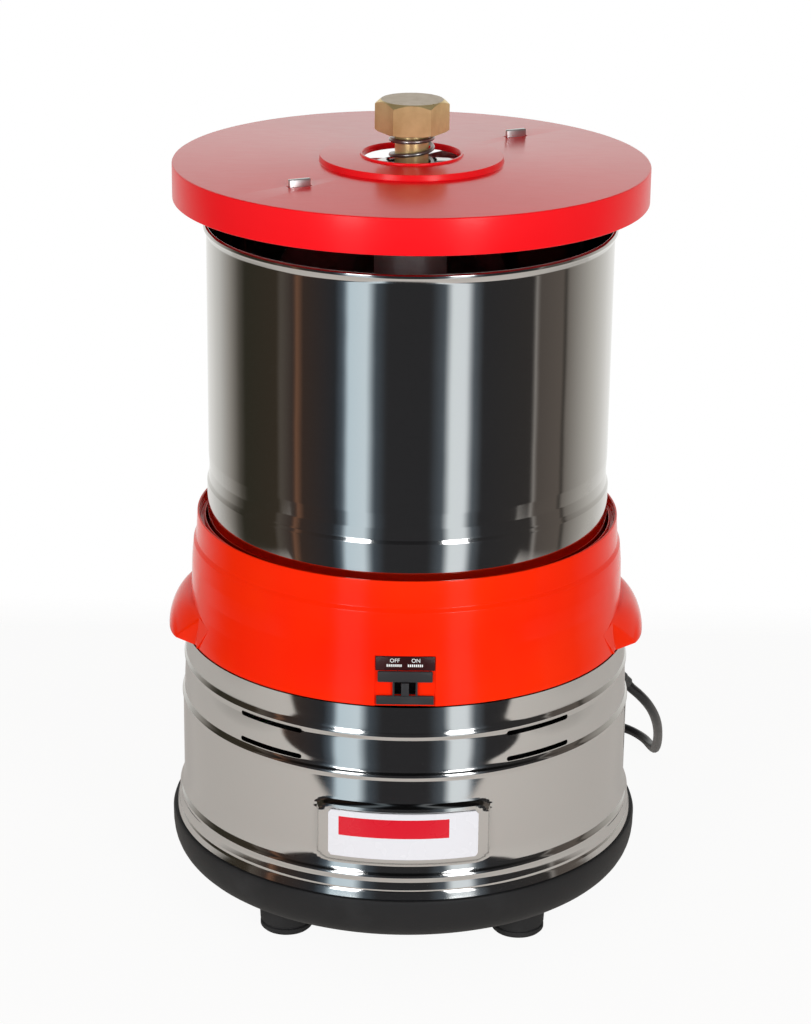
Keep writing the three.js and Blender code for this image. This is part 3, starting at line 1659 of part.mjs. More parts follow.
function pathLength(points) {
  return points.slice(1).reduce((sum, spot, i) => sum + spot.distanceTo(points[i]), 0);
}
const freeLength = new THREE.CatmullRomCurve3(cordRoute).getLength();
const cordLength = freeLength + pathLength(wholeCoil) + tail.length;
console.log("cord length", cordLength.toFixed(0), "mm");

// Assembly
const melanger = new THREE.Group();
const stoneHolder = new THREE.Group();
stoneHolder.rotation.z = holderTurn;
melanger.add(stoneHolder);

function add(name, geometry, material, group = melanger) {
  const mesh = new THREE.Mesh(geometry, material);
  mesh.name = name;
  group.add(mesh);
  return mesh;
}

const footNames = ["foot_rear_right", "foot_rear_left", "foot_front_left", "foot_front_right"];
quarterTurns.forEach((degrees, i) => {
  const place = radians(degrees);
  add(footNames[i], footGeometry(), blackRubber)
    .position.set(pillarRing * Math.cos(place), pillarRing * Math.sin(place), 0);
});

add("base_pan", panGeometry(), blackPlastic);
add("sleeve", sleeveGeometry(), mirrorSteel);
add("name_plate", namePlateGeometry(), labelWhite);
add("deck_plate", deckGeometry(), brushedSteel);
add("collar", collarGeometry(), collarOrange);
add("switch_label", switchLabelGeometry(), blackGloss);
add("switch_bezel", bezelGeometry(), blackPlastic);
add("switch_slider", sliderGeometry(), blackPlastic);
add("switch_body", switchBodyGeometry(), blackPlastic);

add("shaft_flange", shaftFlangeGeometry(), castAluminium);
add("centre_shaft", centreShaftGeometry(), brushedSteel);
const seatBearing = (bottom) => bearingGeometry(shaftBore, bearing.outer, bearing.width, bottom);
add("seat_bearing_low", seatBearing(lowBearingBottom), brushedSteel);
add("seat_bearing_high", seatBearing(highShoulder + clearance), brushedSteel);
add("drum_seat", drumSeatGeometry(), castAluminium);
add("drum_coupling", drumCouplingGeometry(), brushedSteel);
add("drum_shell", drumShellGeometry(), mirrorSteel);
add("centre_tube", centreTubeGeometry(), mirrorSteel);
add("tube_seal", tubeSealGeometry(), blackRubber);
add("base_stone", baseStoneGeometry(), granite);

add("driven_pulley", drivenPulleyGeometry(), castAluminium);
add("drive_belt", beltGeometry(), blackRubber);
add("motor_pulley", motorPulleyGeometry(), brushedSteel);
add("motor_bracket_top", bracketGeometry(), castAluminium).position.set(0, motorOffset, motorTop);
const lowBracket = add("motor_bracket_bottom", bracketGeometry(), castAluminium);
lowBracket.position.set(0, motorOffset, motorBottom);
lowBracket.rotation.x = turn / 2;
add("motor_stator", statorGeometry(), laminatedIron);
add("winding_top", windingGeometry(statorTop + clearance), copper);
add("winding_bottom", windingGeometry(statorBottom - clearance - motor.windingHeight), copper);
const motorBore = motorShaft.radius + clearance;
add("motor_bearing_top", bearingGeometry(
  motorBore,
  motor.bearingOuter,
  motor.bearingWidth,
  motorTop - motor.bearingLip - clearance - motor.bearingWidth,
), brushedSteel).position.y = motorOffset;
add("motor_bearing_bottom", bearingGeometry(
  motorBore,
  motor.bearingOuter,
  motor.bearingWidth,
  motorBottom + motor.bearingLip + clearance,
), brushedSteel).position.y = motorOffset;
add("motor_shaft", rod(motorShaft.radius, fanBottom, pulleyTop + motorShaft.topRun), brushedSteel)
  .position.y = motorOffset;
add("motor_rotor", ring(
  motorBore,
  motor.rotorRadius,
  statorBottom - motor.rotorOverlap,
  statorTop + motor.rotorOverlap,
), laminatedIron).position.y = motorOffset;
add("motor_fan", fanGeometry(), whitePlastic);
add("run_capacitor", capacitorGeometry(), whitePlastic);
add("terminal_block", terminalBlockGeometry(), whitePlastic);

add("holder_tower", towerGeometry(), castAluminium, stoneHolder);
for (const [side, word] of [[1, "right"], [-1, "left"]]) {
  add("roller_stone_" + word, rollerStoneGeometry(side), granite, stoneHolder);
  add("stone_bush_" + word, bushGeometry(side), whitePlastic, stoneHolder);
  add("roller_axle_" + word, axleGeometry(side), brushedSteel, stoneHolder);
}
add("scraper_arm", scraperArmGeometry(), brushedSteel, stoneHolder);
add("scraper_blade", scraperBladeGeometry(), whitePlastic, stoneHolder);
add("tab_bar", tabBarGeometry(), brushedSteel);
add("lid_bridge", bridgeGeometry(), mirrorSteel);
add("lid", lidGeometry(), lidRed);

add("spring_seat", springSeatGeometry(), brushedSteel);
add("tension_spring", springGeometry(), brushedSteel);
add("spring_washer", springWasherGeometry(), brushedSteel);
add("tension_bolt", boltGeometry(), brass);

add("strain_relief", strainReliefGeometry(), blackRubber);
add("cord_lead", cordGeometry(), blackGloss);
add("cord_coil", coilGeometry(), blackGloss);
add("cord_tail", tailGeometry(), blackGloss);
add("plug", plugGeometry(), blackGloss);

export default melanger;
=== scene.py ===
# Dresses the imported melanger: fine skins, finishes and small details over its frame.
# Objects, lamps and places in shaders are in metres, and what the mesh helpers take is in millimetres.
# +Z is up and the front is at -Y.
import math

import bmesh
import bpy
from mathutils import Matrix, Vector


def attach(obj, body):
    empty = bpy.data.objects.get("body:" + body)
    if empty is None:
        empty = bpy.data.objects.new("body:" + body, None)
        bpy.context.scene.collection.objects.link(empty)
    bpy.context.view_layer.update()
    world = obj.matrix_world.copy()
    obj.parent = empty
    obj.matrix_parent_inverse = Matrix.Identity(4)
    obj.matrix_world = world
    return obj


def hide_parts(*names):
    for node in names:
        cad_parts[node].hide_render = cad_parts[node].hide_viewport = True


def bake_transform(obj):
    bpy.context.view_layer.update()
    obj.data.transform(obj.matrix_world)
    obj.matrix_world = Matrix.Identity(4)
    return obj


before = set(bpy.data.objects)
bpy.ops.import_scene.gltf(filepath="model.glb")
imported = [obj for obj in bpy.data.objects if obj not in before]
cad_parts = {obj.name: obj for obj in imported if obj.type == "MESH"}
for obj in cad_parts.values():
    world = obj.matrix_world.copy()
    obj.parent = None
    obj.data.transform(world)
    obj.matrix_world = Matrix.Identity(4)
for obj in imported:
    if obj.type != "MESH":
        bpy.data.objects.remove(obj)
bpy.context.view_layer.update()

MM = 0.001
TURN = 2 * math.pi

# Camera, where the photograph was taken from
CAMERA_PLACE = (-0.000884, -1.464134, 0.745224)
CAMERA_TILT = 70.162
CAMERA_ROLL = 0.718
CAMERA_LENS = 101.17

camera = bpy.data.objects.new("camera", bpy.data.cameras.new("camera"))
camera.data.lens = CAMERA_LENS
camera.data.sensor_width = 36
camera.data.clip_start = 0.05
tilt = Matrix.Rotation(math.radians(CAMERA_TILT), 4, "X")
roll = Matrix.Rotation(math.radians(CAMERA_ROLL), 4, "Z")
camera.matrix_world = Matrix.Translation(CAMERA_PLACE) @ tilt @ roll
bpy.context.scene.collection.objects.link(camera)
bpy.context.scene.camera = camera
bpy.context.scene.view_settings.view_transform = "Standard"


# Shader nodes

class Signal:
    """A node's output that can be used in arithmetic."""

    def __init__(self, nodes, socket):
        self.nodes = nodes
        self.socket = socket

    def math(self, operation, *others):
        values = dict(enumerate((self,) + others))
        return self.nodes.node("ShaderNodeMath", {"operation": operation}, values)

    def __add__(self, other):
        return self.math("ADD", other)

    __radd__ = __add__

    def __mul__(self, other):
        return self.math("MULTIPLY", other)

    __rmul__ = __mul__

    def __sub__(self, other):
        return self.math("SUBTRACT", other)

    def __rsub__(self, other):
        return self.nodes.node("ShaderNodeMath", {"operation": "SUBTRACT"}, {0: other, 1: self})

    def __gt__(self, other):
        return self.math("GREATER_THAN", other)

    def __lt__(self, other):
        return self.math("LESS_THAN", other)


class Nodes:
    """The nodes of a material or of the world."""

    def __init__(self, tree):
        self.tree = tree

    def node(self, kind, settings=None, values=None, output=0):
        """A new node with its settings and the values or links of its sockets, as the named output."""
        made = self.tree.nodes.new(kind)
        for name, value in (settings or {}).items():
            if name == "stops":
                ramp = made.color_ramp
                while len(ramp.elements) < len(value):
                    ramp.elements.new(1)
                for element, (place, color) in zip(ramp.elements, value):
                    element.position = place
                    element.color = color
            else:
                setattr(made, name, value)
        for name, value in (values or {}).items():
            self.feed(made.inputs[name], value)
        return Signal(self, made.outputs[output]) if made.outputs else None

    def feed(self, socket, value):
        if isinstance(value, Signal):
            self.tree.links.new(value.socket, socket)
        else:
            socket.default_value = value

    def place(self):
        return self.node("ShaderNodeTexCoord", output="Object")

    def axes(self, of="Object"):
        """X, Y and Z of the surface's place in metres, with "Normal" of the way that it faces, and
        with "Generated", in the world, of the direction looked in."""
        split = self.node("ShaderNodeSeparateXYZ", values={0: self.node("ShaderNodeTexCoord", output=of)})
        return [Signal(self, output) for output in split.socket.node.outputs]

    def stretched(self, scale):
        """The surface's place with each axis scaled by its own factor."""
        return self.node("ShaderNodeMapping", values={"Vector": self.place(), "Scale": scale})

    def noise(self, scale, detail=2.0, where=None):
        values = {"Scale": scale, "Detail": detail, "Vector": where or self.place()}
        return self.node("ShaderNodeTexNoise", values=values)

    def blend(self, factor, first, second):
        """One colour going over to another."""
        values = {"Factor": factor, 6: first, 7: second}
        return self.node("ShaderNodeMix", {"data_type": "RGBA"}, values, output=2)

    def mixed(self, factor, first, second):
        """One shader going over to another."""
        return self.node("ShaderNodeMixShader", values={0: factor, 1: first, 2: second})

    def limits(self, value, low, high, to_low, to_high):
        """A value between low and high as one between to_low and to_high, and held there beyond them."""
        values = {"Value": value, "From Min": low, "From Max": high, "To Min": to_low, "To Max": to_high}
        return self.node("ShaderNodeMapRange", values=values)

    def ray(self, *kinds):
        """1 for rays of the named kinds, such as Camera, and 0 for others."""
        signals = [self.node("ShaderNodeLightPath", output=f"Is {kind} Ray") for kind in kinds]
        return sum(signals[1:], signals[0])


class Paint(Nodes):
    """A material on a Principled shader. Sockets named when it is made are the same all over the surface."""

    def __init__(self, name, color, **constants):
        self.material = bpy.data.materials.new(name)
        self.material.use_nodes = True
        super().__init__(self.material.node_tree)
        self.shader = self.tree.nodes["Principled BSDF"]
        self.set("Base Color", opaque(color))
        for socket, value in constants.items():
            self.set(socket.replace("_", " "), value)

    def set(self, socket, value):
        self.feed(self.shader.inputs[socket], value)

    def mottle(self, factor, low, high, first, second, most=1):
        """Base colour that goes from the first colour towards the second as the factor rises."""
        share = self.limits(factor, low, high, 0, most)
        self.set("Base Color", self.blend(share, opaque(first), opaque(second)))

    def bump(self, height, strength, distance):
        values = {"Height": height, "Strength": strength, "Distance": distance}
        self.set("Normal", self.node("ShaderNodeBump", values=values))


def opaque(color):
    return (*color, 1.0)


# Finishes

def polished_steel():
    """Mirror-polished sheet, faintly wavy, with fine polishing lines that run round it."""
    paint = Paint("mirror_steel", (0.67, 0.665, 0.655), Metallic=1)
    lines = paint.noise(40, 3, paint.stretched((1, 1, 60)))
    haze = paint.noise(14, 3)
    paint.set("Roughness", 0.03 + 0.05 * lines + 0.04 * haze * haze)
    paint.bump(paint.noise(9, 1) + 0.06 * paint.noise(50, 1), 0.12, 0.004)
    return paint.material


def plain_steel(name, color):
    """Machined steel with fine lines and a little variation in sheen."""
    paint = Paint(name, color, Metallic=1)
    lines = paint.noise(120, 3, paint.stretched((1, 1, 12)))
    paint.set("Roughness", 0.22 + 0.2 * lines)
    paint.bump(lines, 0.15, 0.0003)
    return paint.material


def collar_plastic():
    """Glossy orange-red moulding with slight unevenness and a fine texture in its gloss."""
    orange, deep = (0.95, 0.026, 0), (0.93, 0.014, 0)
    paint = Paint("collar_orange_moulding", orange, Specular_IOR_Level=0.22)
    paint.mottle(paint.noise(11, 3), 0.35, 0.7, orange, deep)
    paint.set("Roughness", 0.12 + 0.06 * paint.noise(60, 4))
    paint.bump(paint.noise(160, 2), 0.04, 0.0003)
    return paint.material


def lid_plastic():
    """The lid's red moulding: satin on top with fine wiping scratches, glossier on the skirt."""
    red, dark = (0.95, 0.002, 0.008), (0.88, 0.001, 0.005)
    paint = Paint("lid_plastic", red, Specular_IOR_Level=0.2, Coat_Roughness=0.2)
    paint.mottle(paint.noise(9, 3), 0.35, 0.7, red, dark)
    paint.set("Coat Weight", paint.limits(paint.axes("Normal")[2], 0.5, 0.95, 0.3, 0.8))
    scratches = paint.noise(300, 4, paint.stretched((0.3, 1, 1)))
    paint.set("Roughness", 0.3 + 0.08 * scratches)
    paint.bump(paint.noise(500, 2), 0.05, 0.0003)
    return paint.material


def bolt_brass():
    """Machined brass with turning marks and some tarnish, and painted shade that dulls the head's top face."""
    bright, dull, shaded_top_brass = (0.97, 0.76, 0.38), (0.7, 0.5, 0.21), (0.5, 0.4, 0.28)
    paint = Paint("bolt_brass", bright, Metallic=0.75)
    tarnish = paint.noise(90, 5)
    brass = paint.blend(paint.limits(tarnish, 0.4, 0.75, 0, 0.8), opaque(bright), opaque(dull))
    # Painted shade: faces that point upwards get a duller, greyer brass colour
    top_shade_share = paint.limits(paint.axes("Normal")[2], 0.8, 0.95, 0, 1)
    paint.set("Base Color", paint.blend(top_shade_share, brass, opaque(shaded_top_brass)))
    marks = paint.noise(260, 2, paint.stretched((1, 1, 9)))
    paint.set("Roughness", 0.26 + 0.16 * marks)
    paint.bump(marks, 0.12, 0.0003)
    return paint.material


def grained_plastic(name, color, roughness, grain):
    """Satin black moulding with a fine moulded grain and a few scuffs."""
    paint = Paint(name, color, Specular_IOR_Level=0.35)
    scuffs = paint.noise(35, 4)
    worn = tuple(1.5 * part + 0.01 for part in color)
    paint.mottle(scuffs, 0.55, 0.8, color, worn, 0.7)
    paint.set("Roughness", roughness + 0.12 * scuffs)
    paint.bump(paint.noise(grain, 2), 0.2, 0.0004)
    return paint.material


def ground_granite():
    """Black granite with pale and dark grains, ground smooth."""
    paint = Paint("ground_granite", (0.08, 0.08, 0.085))
    grains = paint.noise(700, 3)
    spots = {"Vector": paint.place(), "Scale": 420}
    flecks = paint.node("ShaderNodeTexVoronoi", values=spots, output="Distance")
    base = paint.blend(paint.limits(grains, 0.4, 0.65, 0, 1), (0.035, 0.035, 0.04, 1), (0.16, 0.16, 0.17, 1))
    paint.set("Base Color", paint.blend(paint.limits(flecks, 0, 0.22, 0.8, 0), base, (0.4, 0.4, 0.42, 1)))
    paint.set("Roughness", 0.35 + 0.3 * grains)
    paint.bump(grains, 0.15, 0.0004)
    return paint.material


def cast_aluminium():
    """Cast aluminium with a sandy skin."""
    paint = Paint("cast_aluminium_skin", (0.62, 0.63, 0.64), Metallic=1)
    sand = paint.noise(500, 4)
    paint.set("Roughness", 0.35 + 0.25 * sand)
    paint.bump(sand, 0.35, 0.0006)
    return paint.material


def wound_copper():
    """A lacquered winding: fine wires laid round the motor's axis."""
    paint = Paint("wound_copper", (0.55, 0.2, 0.07), Metallic=0.9, Roughness=0.3)
    wires = paint.noise(60, 1, paint.stretched((1, 1, 30)))
    paint.set("Base Color", paint.blend(wires, (0.62, 0.24, 0.09, 1), (0.3, 0.09, 0.03, 1)))
    paint.bump(wires, 0.6, 0.001)
    return paint.material


def stacked_iron():
    """A core of thin iron sheets, seen as fine level lines."""
    paint = Paint("stacked_iron", (0.25, 0.26, 0.28), Metallic=0.9)
    sheet_pitch = 1 * MM
    sheets = (paint.axes()[2] * (TURN / sheet_pitch)).math("SINE")
    paint.set("Roughness", 0.42 + 0.12 * sheets)
    paint.bump(sheets, 0.3, 0.0002)
    return paint.material


def nylon():
    """White nylon, slightly mottled."""
    paint = Paint("white_nylon", (0.82, 0.82, 0.79), Subsurface_Weight=0.1)
    mottle = paint.noise(60, 3)
    paint.set("Base Color", paint.blend(mottle, (0.86, 0.86, 0.83, 1), (0.76, 0.76, 0.72, 1)))
    paint.set("Roughness", 0.35 + 0.15 * mottle)
    return paint.material


def cord_jacket():
    """Glossy black cord jacket with a faint extruded ripple."""
    paint = Paint("cord_jacket", (0.012, 0.012, 0.014))
    ripple = paint.noise(240, 2)
    paint.set("Roughness", 0.24 + 0.14 * ripple)
    paint.bump(ripple, 0.12, 0.0005)
    return paint.material


def plate_print():
    """The white plate with a plain red band in its upper part."""
    paint = Paint("plate_print", (0.85, 0.85, 0.9), Coat_Weight=0.1)
    across, _, up = paint.axes()
    left, right, low, high = -0.0335, 0.0238, 0.083, 0.0936
    inside = (across > left) * (across < right) * (up > low) * (up < high)
    paint.set("Base Color", paint.blend(inside, (0.74, 0.74, 0.78, 1), (0.66, 0.003, 0.018, 1)))
    paint.set("Roughness", 0.22 + 0.1 * paint.noise(80, 2))
    return paint.material


STEEL = polished_steel()
PLAIN = plain_steel("plain_steel_finish", (0.5, 0.5, 0.495))
TAB_STEEL = plain_steel("tab_steel", (0.92, 0.9, 0.89))
LID_RED = lid_plastic()
COLLAR_ORANGE = collar_plastic()
BRASS = bolt_brass()
PAN_BLACK = grained_plastic("pan_black", (0.012, 0.012, 0.013), 0.48, 900)
SWITCH_BLACK = grained_plastic("switch_black", (0.03, 0.03, 0.032), 0.3, 1200)
LABEL_BLACK = grained_plastic("label_black", (0.03, 0.004, 0.005), 0.2, 1500)
RUBBER = grained_plastic("foot_rubber", (0.02, 0.02, 0.021), 0.6, 700)
BOOT = grained_plastic("boot_rubber", (0.06, 0.06, 0.058), 0.45, 700)
GRANITE = ground_granite()
ALUMINIUM = cast_aluminium()
COPPER = wound_copper()
IRON = stacked_iron()
NYLON = nylon()
JACKET = cord_jacket()
PLATE = plate_print()
INK = Paint("white_ink", (0.85, 0.85, 0.85), Roughness=0.4).material


# Mesh helpers. A profile is a list of (radius, height[, fillet]).

ON_AXIS = 1e-6
SHARP_ANGLE = 35


def as_piece(name, mesh, material, body, *nodes, sharp=SHARP_ANGLE):
    """A mesh as a piece that stands for CAD nodes and rides on a body, if one is named."""
    for face in mesh.polygons:
        face.use_smooth = True
    mesh.set_sharp_from_angle(angle=math.radians(sharp))
    mesh.materials.clear()
    mesh.materials.append(material)
    mesh.name = name
    piece = added(name, mesh)
    if nodes:
        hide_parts(*nodes)
    if body:
        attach(piece, body)
    return piece


def closed_mesh(points, faces):
    """A mesh with points that coincide joined and every face turned outwards."""
    mesh = bpy.data.meshes.new("mesh")
    mesh.from_pydata([tuple(MM * part for part in point) for point in points], [], faces)
    mesh.validate()
    work = bmesh.new()
    work.from_mesh(mesh)
    bmesh.ops.remove_doubles(work, verts=work.verts, dist=MM / 1000)
    bmesh.ops.recalc_face_normals(work, faces=work.faces)
    work.to_mesh(mesh)
    work.free()
    return mesh


def eased(profile, steps=4):
    """The profile with an arc in place of each corner that has a fillet."""
    out = []
    count = len(profile)
    for i, corner in enumerate(profile):
        here = Vector(corner[:2])
        fillet = corner[2] if len(corner) > 2 else 0
        if not fillet:
            out.append(tuple(here))
            continue
        before = Vector(profile[(i - 1) % count][:2]) - here
        after = Vector(profile[(i + 1) % count][:2]) - here
        half = before.angle(after) / 2
        reach = min(fillet / math.tan(half), 0.49 * before.length, 0.49 * after.length)
        start, end = here + before.normalized() * reach, here + after.normalized() * reach
        for step in range(steps + 1):
            share = step / steps
            out.append(tuple(start.lerp(here, share).lerp(here.lerp(end, share), share)))
    return out


def level_ring(radius, height, steps):
    angles = [step * TURN / steps for step in range(steps)]
    return [(radius * math.cos(angle), radius * math.sin(angle), height) for angle in angles]


def hoop(centre, first, second, radius, steps):
    """Points round a centre, in the plane of two directions."""
    angles = [step * TURN / steps for step in range(steps)]
    return [centre + first * radius * math.cos(angle) + second * radius * math.sin(angle) for angle in angles]


def turned(profile, steps):
    """A closed profile turned about the Z axis."""
    line = eased(profile)
    points, starts = [], []
    for radius, height in line:
        starts.append(len(points))
        points += [(0, 0, height)] if radius < ON_AXIS else level_ring(radius, height, steps)
    faces = []
    for i, (radius, _) in enumerate(line):
        j = (i + 1) % len(line)
        low, high = starts[i], starts[j]
        flat_low, flat_high = radius < ON_AXIS, line[j][0] < ON_AXIS
        if flat_low and flat_high:
            continue
        for step in range(steps):
            after = (step + 1) % steps
            if flat_low:
                faces.append((low, high + after, high + step))
            elif flat_high:
                faces.append((low + step, low + after, high))
            else:
                faces.append((low + step, low + after, high + after, high + step))
    return closed_mesh(points, faces)


def lofted(rings, joined=False):
    """A skin over rings of equal point counts. Flat caps close it, or its last ring is joined to its first."""
    count = len(rings[0])
    faces = []
    for i in range(len(rings) if joined else len(rings) - 1):
        here, after = i * count, (i + 1) % len(rings) * count
        for j in range(count):
            k = (j + 1) % count
            faces.append((here + j, here + k, after + k, after + j))
    if not joined:
        faces.append(tuple(range(count)))
        faces.append(tuple((len(rings) - 1) * count + j for j in reversed(range(count))))
    return closed_mesh([point for ring in rings for point in ring], faces)


def raised(outline, bottom, top):
    """A flat outline of (x, y) raised from bottom to top."""
    count = len(outline)
    points = [(x, y, bottom) for x, y in outline] + [(x, y, top) for x, y in outline]
    faces = [tuple(range(count - 1, -1, -1)), tuple(range(count, 2 * count))]
    faces += [(i, (i + 1) % count, count + (i + 1) % count, count + i) for i in range(count)]
    return closed_mesh(points, faces)


def rod(radius, low, high, steps):
    """A plain upright cylinder, to cut a hole with."""
    return turned([(0, low), (radius, low), (radius, high), (0, high)], steps)


def rounded_box(width, height, radius, steps=6):
    """The outline of a rectangle with round corners."""
    outline = []
    for quarter, (sx, sy) in enumerate(((1, 1), (-1, 1), (-1, -1), (1, -1))):
        for step in range(steps + 1):
            angle = (quarter + step / steps) * TURN / 4
            x = sx * (width / 2 - radius) + radius * math.cos(angle)
            y = sy * (height / 2 - radius) + radius * math.sin(angle)
            outline.append((x, y))
    return outline


def cuboid(low, high):
    outline = [(low[0], low[1]), (high[0], low[1]), (high[0], high[1]), (low[0], high[1])]
    return raised(outline, low[2], high[2])


def moved(mesh, matrix):
    mesh.transform(matrix)
    return mesh


def shift(x=0, y=0, z=0):
    return Matrix.Translation((x * MM, y * MM, z * MM))


def spin(degrees, axis="Z"):
    return Matrix.Rotation(math.radians(degrees), 4, axis)


def merged(*meshes):
    work = bmesh.new()
    for mesh in meshes:
        work.from_mesh(mesh)
    out = bpy.data.meshes.new("mesh")
    work.to_mesh(out)
    work.free()
    return out


def added(name, data):
    """A new object in the scene."""
    thing = bpy.data.objects.new(name, data)
    bpy.context.scene.collection.objects.link(thing)
    return thing


def applied(thing, *helpers):
    """The object's final mesh, once the object and its helpers are deleted."""
    bpy.context.view_layer.update()
    evaluated = thing.evaluated_get(bpy.context.evaluated_depsgraph_get())
    mesh = bpy.data.meshes.new_from_object(evaluated)
    for used in (thing, *helpers):
        bpy.data.objects.remove(used)
    return mesh


def carved(mesh, *cutters):
    """The mesh with the cutters taken away, one after another."""
    body = added("carving", mesh)
    tools = [added("cutter", cutter) for cutter in cutters]
    for tool in tools:
        step = body.modifiers.new("cut", "BOOLEAN")
        step.operation = "DIFFERENCE"
        step.solver = "EXACT"
        step.object = tool
    return applied(body, *tools)


def edged(mesh, width, segments):
    """The mesh with its sharp edges rounded."""
    body = added("edging", mesh)
    step = body.modifiers.new("edge", "BEVEL")
    step.width = width * MM
    step.segments = segments
    step.limit_method = "ANGLE"
    step.angle_limit = math.radians(SHARP_ANGLE)
    return applied(body)


# Power cord: from the boot down to the floor and round the back, a neat coil, a tail and the plug
CORD_RADIUS = 2.8
CORD_FLOOR = 3
CORD_ROUTE = [
    (127.77, 55.29, 93.96),
    (130.1, 56.3, 91.0),
    (134.4, 58.6, 86.4),
    (139.4, 63.0, 79.6),
    (144.0, 71.5, 70.2),
    (147.8, 84.5, 58.4),
    (150.6, 101.0, 45.2),
    (152.6, 119.5, 31.6),
    (153.9, 138.0, 18.6),
    (154.3, 154.0, 8.8),
    (153.4, 168.5, 3.9),
    (149.6, 182.5, CORD_FLOOR),
    (141.5, 194.5, CORD_FLOOR),
    (129.6, 203.2, CORD_FLOOR),
    (114.0, 209.8, CORD_FLOOR),
    (96.0, 216.0, CORD_FLOOR),
    (78.0, 222.0, CORD_FLOOR),
    (60.0, 226.6, CORD_FLOOR),
    (43.0, 229.2, CORD_FLOOR),
    (32.0, 229.8, CORD_FLOOR),
]
COIL_CENTRE = (20, 186)
COIL_RADIUS = 43.8
COIL_PITCH = 6.1
COIL_TURNS = 7
COIL_STRAIGHT = 5.6
TAIL_LENGTH = 26


def coil_points():
    """The spare cord: it spirals in on the floor, climbs a layer where it turns back and spirals out on top."""
    half = COIL_TURNS / 2
    climb_turns = 0.5
    out = [(COIL_CENTRE[0] + COIL_STRAIGHT, COIL_CENTRE[1] + COIL_RADIUS, CORD_FLOOR)]
    steps = COIL_TURNS * 24
    for i in range(steps + 1):
        done = i * COIL_TURNS / steps
        radius = COIL_RADIUS - COIL_PITCH * (half - abs(done - half))
        climb = min(max((done - half) / climb_turns + 0.5, 0), 1)
        angle = TURN / 4 + done * TURN
        out.append((
            COIL_CENTRE[0] + radius * math.cos(angle),
            COIL_CENTRE[1] + radius * math.sin(angle),
            CORD_FLOOR + COIL_PITCH * climb,
        ))
    return out


def power_cord():
    coil = coil_points()
    end = coil[-1]
    tail = [(end[0] - COIL_STRAIGHT, end[1], end[2]), (end[0] - COIL_STRAIGHT - TAIL_LENGTH, end[1], end[2])]
    points = [Vector(point) * MM for point in CORD_ROUTE + coil + tail]
    curve = bpy.data.curves.new("power_cord", "CURVE")
    curve.dimensions = "3D"
    curve.bevel_depth = CORD_RADIUS * MM
    curve.bevel_resolution = 4
    curve.use_fill_caps = True
    spline = curve.splines.new("BEZIER")
    spline.bezier_points.add(len(points) - 1)
    for i, (knot, point) in enumerate(zip(spline.bezier_points, points)):
        before, after = points[max(i - 1, 0)], points[min(i + 1, len(points) - 1)]
        along = (after - before).normalized()
        knot.co = point
        knot.handle_left = point - along * (point - before).length / 3
        knot.handle_right = point + along * (after - point).length / 3
    spline.resolution_u = 4
    curve.materials.append(JACKET)
    cord = added("power_cord", curve)
    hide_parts("cord_lead", "cord_coil", "cord_tail")
    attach(cord, "housing")
    return cord, points


power_cord_piece, cord_points = power_cord()
PLUG_START = COIL_CENTRE[0] - COIL_STRAIGHT - TAIL_LENGTH - 0.3
PLUG_BOOT, PLUG_GRIP = 18, 24
BLADE_SPACING = 12.7


def power_plug():
    """The moulded plug with a ribbed boot, a grip and two blades."""
    profile = [(0, 0)]
    for rib in range(6):
        at = 0.4 + rib * 2.7
        crest = 3.6 + rib * 0.3
        groove = crest - 0.7
        profile += [(crest, at, 0.3), (crest, at + 1.5, 0.3), (groove, at + 1.9), (groove, at + 2.5)]
    profile += [(5.4, 17, 0.6), (5.4, 26), (0, 26)]
    boot = moved(turned(profile, 32), shift(PLUG_START) @ spin(-90, "Y"))
    grip = edged(raised(rounded_box(17.4, 23.8, 4), 0, PLUG_GRIP), 1.4, 3)
    grip = moved(grip, shift(PLUG_START - PLUG_BOOT) @ spin(-90, "Y"))
    place = shift(0, COIL_CENTRE[1] + COIL_RADIUS, CORD_FLOOR + COIL_PITCH)
    moulding = moved(merged(boot, grip), place)
    blades = []
    for side in (-1, 1):
        outline = [(0, -3.15), (16.2, -3.15), (17, -2.2), (17, 2.2), (16.2, 3.15), (0, 3.15)]
        blade = edged(raised(outline, -0.75, 0.75), 0.2, 2)
        face = shift(PLUG_START - PLUG_BOOT - PLUG_GRIP, side * BLADE_SPACING / 2)
        blades.append(moved(blade, face @ spin(180) @ spin(90, "X")))
    pins = moved(merged(*blades), place)
    plug = as_piece("plug_moulding", moulding, JACKET, "housing", "plug")
    return plug, as_piece("plug_blades", pins, PLAIN, "housing")


plug_piece, blade_piece = power_plug()


def coil_tie():
    """A flat strap round the coil's turns."""
    inner = COIL_RADIUS - COIL_PITCH * COIL_TURNS / 2 - CORD_RADIUS
    outer = COIL_RADIUS + CORD_RADIUS
    top = CORD_FLOOR + COIL_PITCH + CORD_RADIUS
    width, middle = outer - inner, -(outer + inner) / 2
    around = []
    for ease in (0.7, 0.15):
        outline = rounded_box(width + 2 * ease, top + ease, 3)
        around.append(moved(raised(outline, -4, 4), shift(0, ease / 2)))
    strap = carved(around[0], moved(around[1], Matrix.Diagonal((1, 1, 2, 1))))
    lay = shift(COIL_CENTRE[0] + middle, COIL_CENTRE[1], top / 2 + 0.1) @ spin(90, "X")
    return as_piece("coil_tie", moved(strap, lay), RUBBER, "housing")


tie_piece = coil_tie()


# Heights of the stack, from the floor up
PAN_BOTTOM, PAN_TOP = 20, 47.9
SLEEVE_BOTTOM, SLEEVE_TOP = 48.2, 154.2
COLLAR_BOTTOM, WELL_FLOOR = 154.5, 188.5
DRUM_BOTTOM, DRUM_FLOOR, DRUM_TOP = 206, 207.5, 378.4
STONE_BOTTOM, STONE_TOP = 207.8, 225
AXLE_HEIGHT, HOLDER_TOP = 273.3, 404.4
SPRING_BOTTOM, SPRING_LENGTH = 388.6, 36.2
HEAD_BOTTOM, HEAD_TOP = 426.4, 442.8

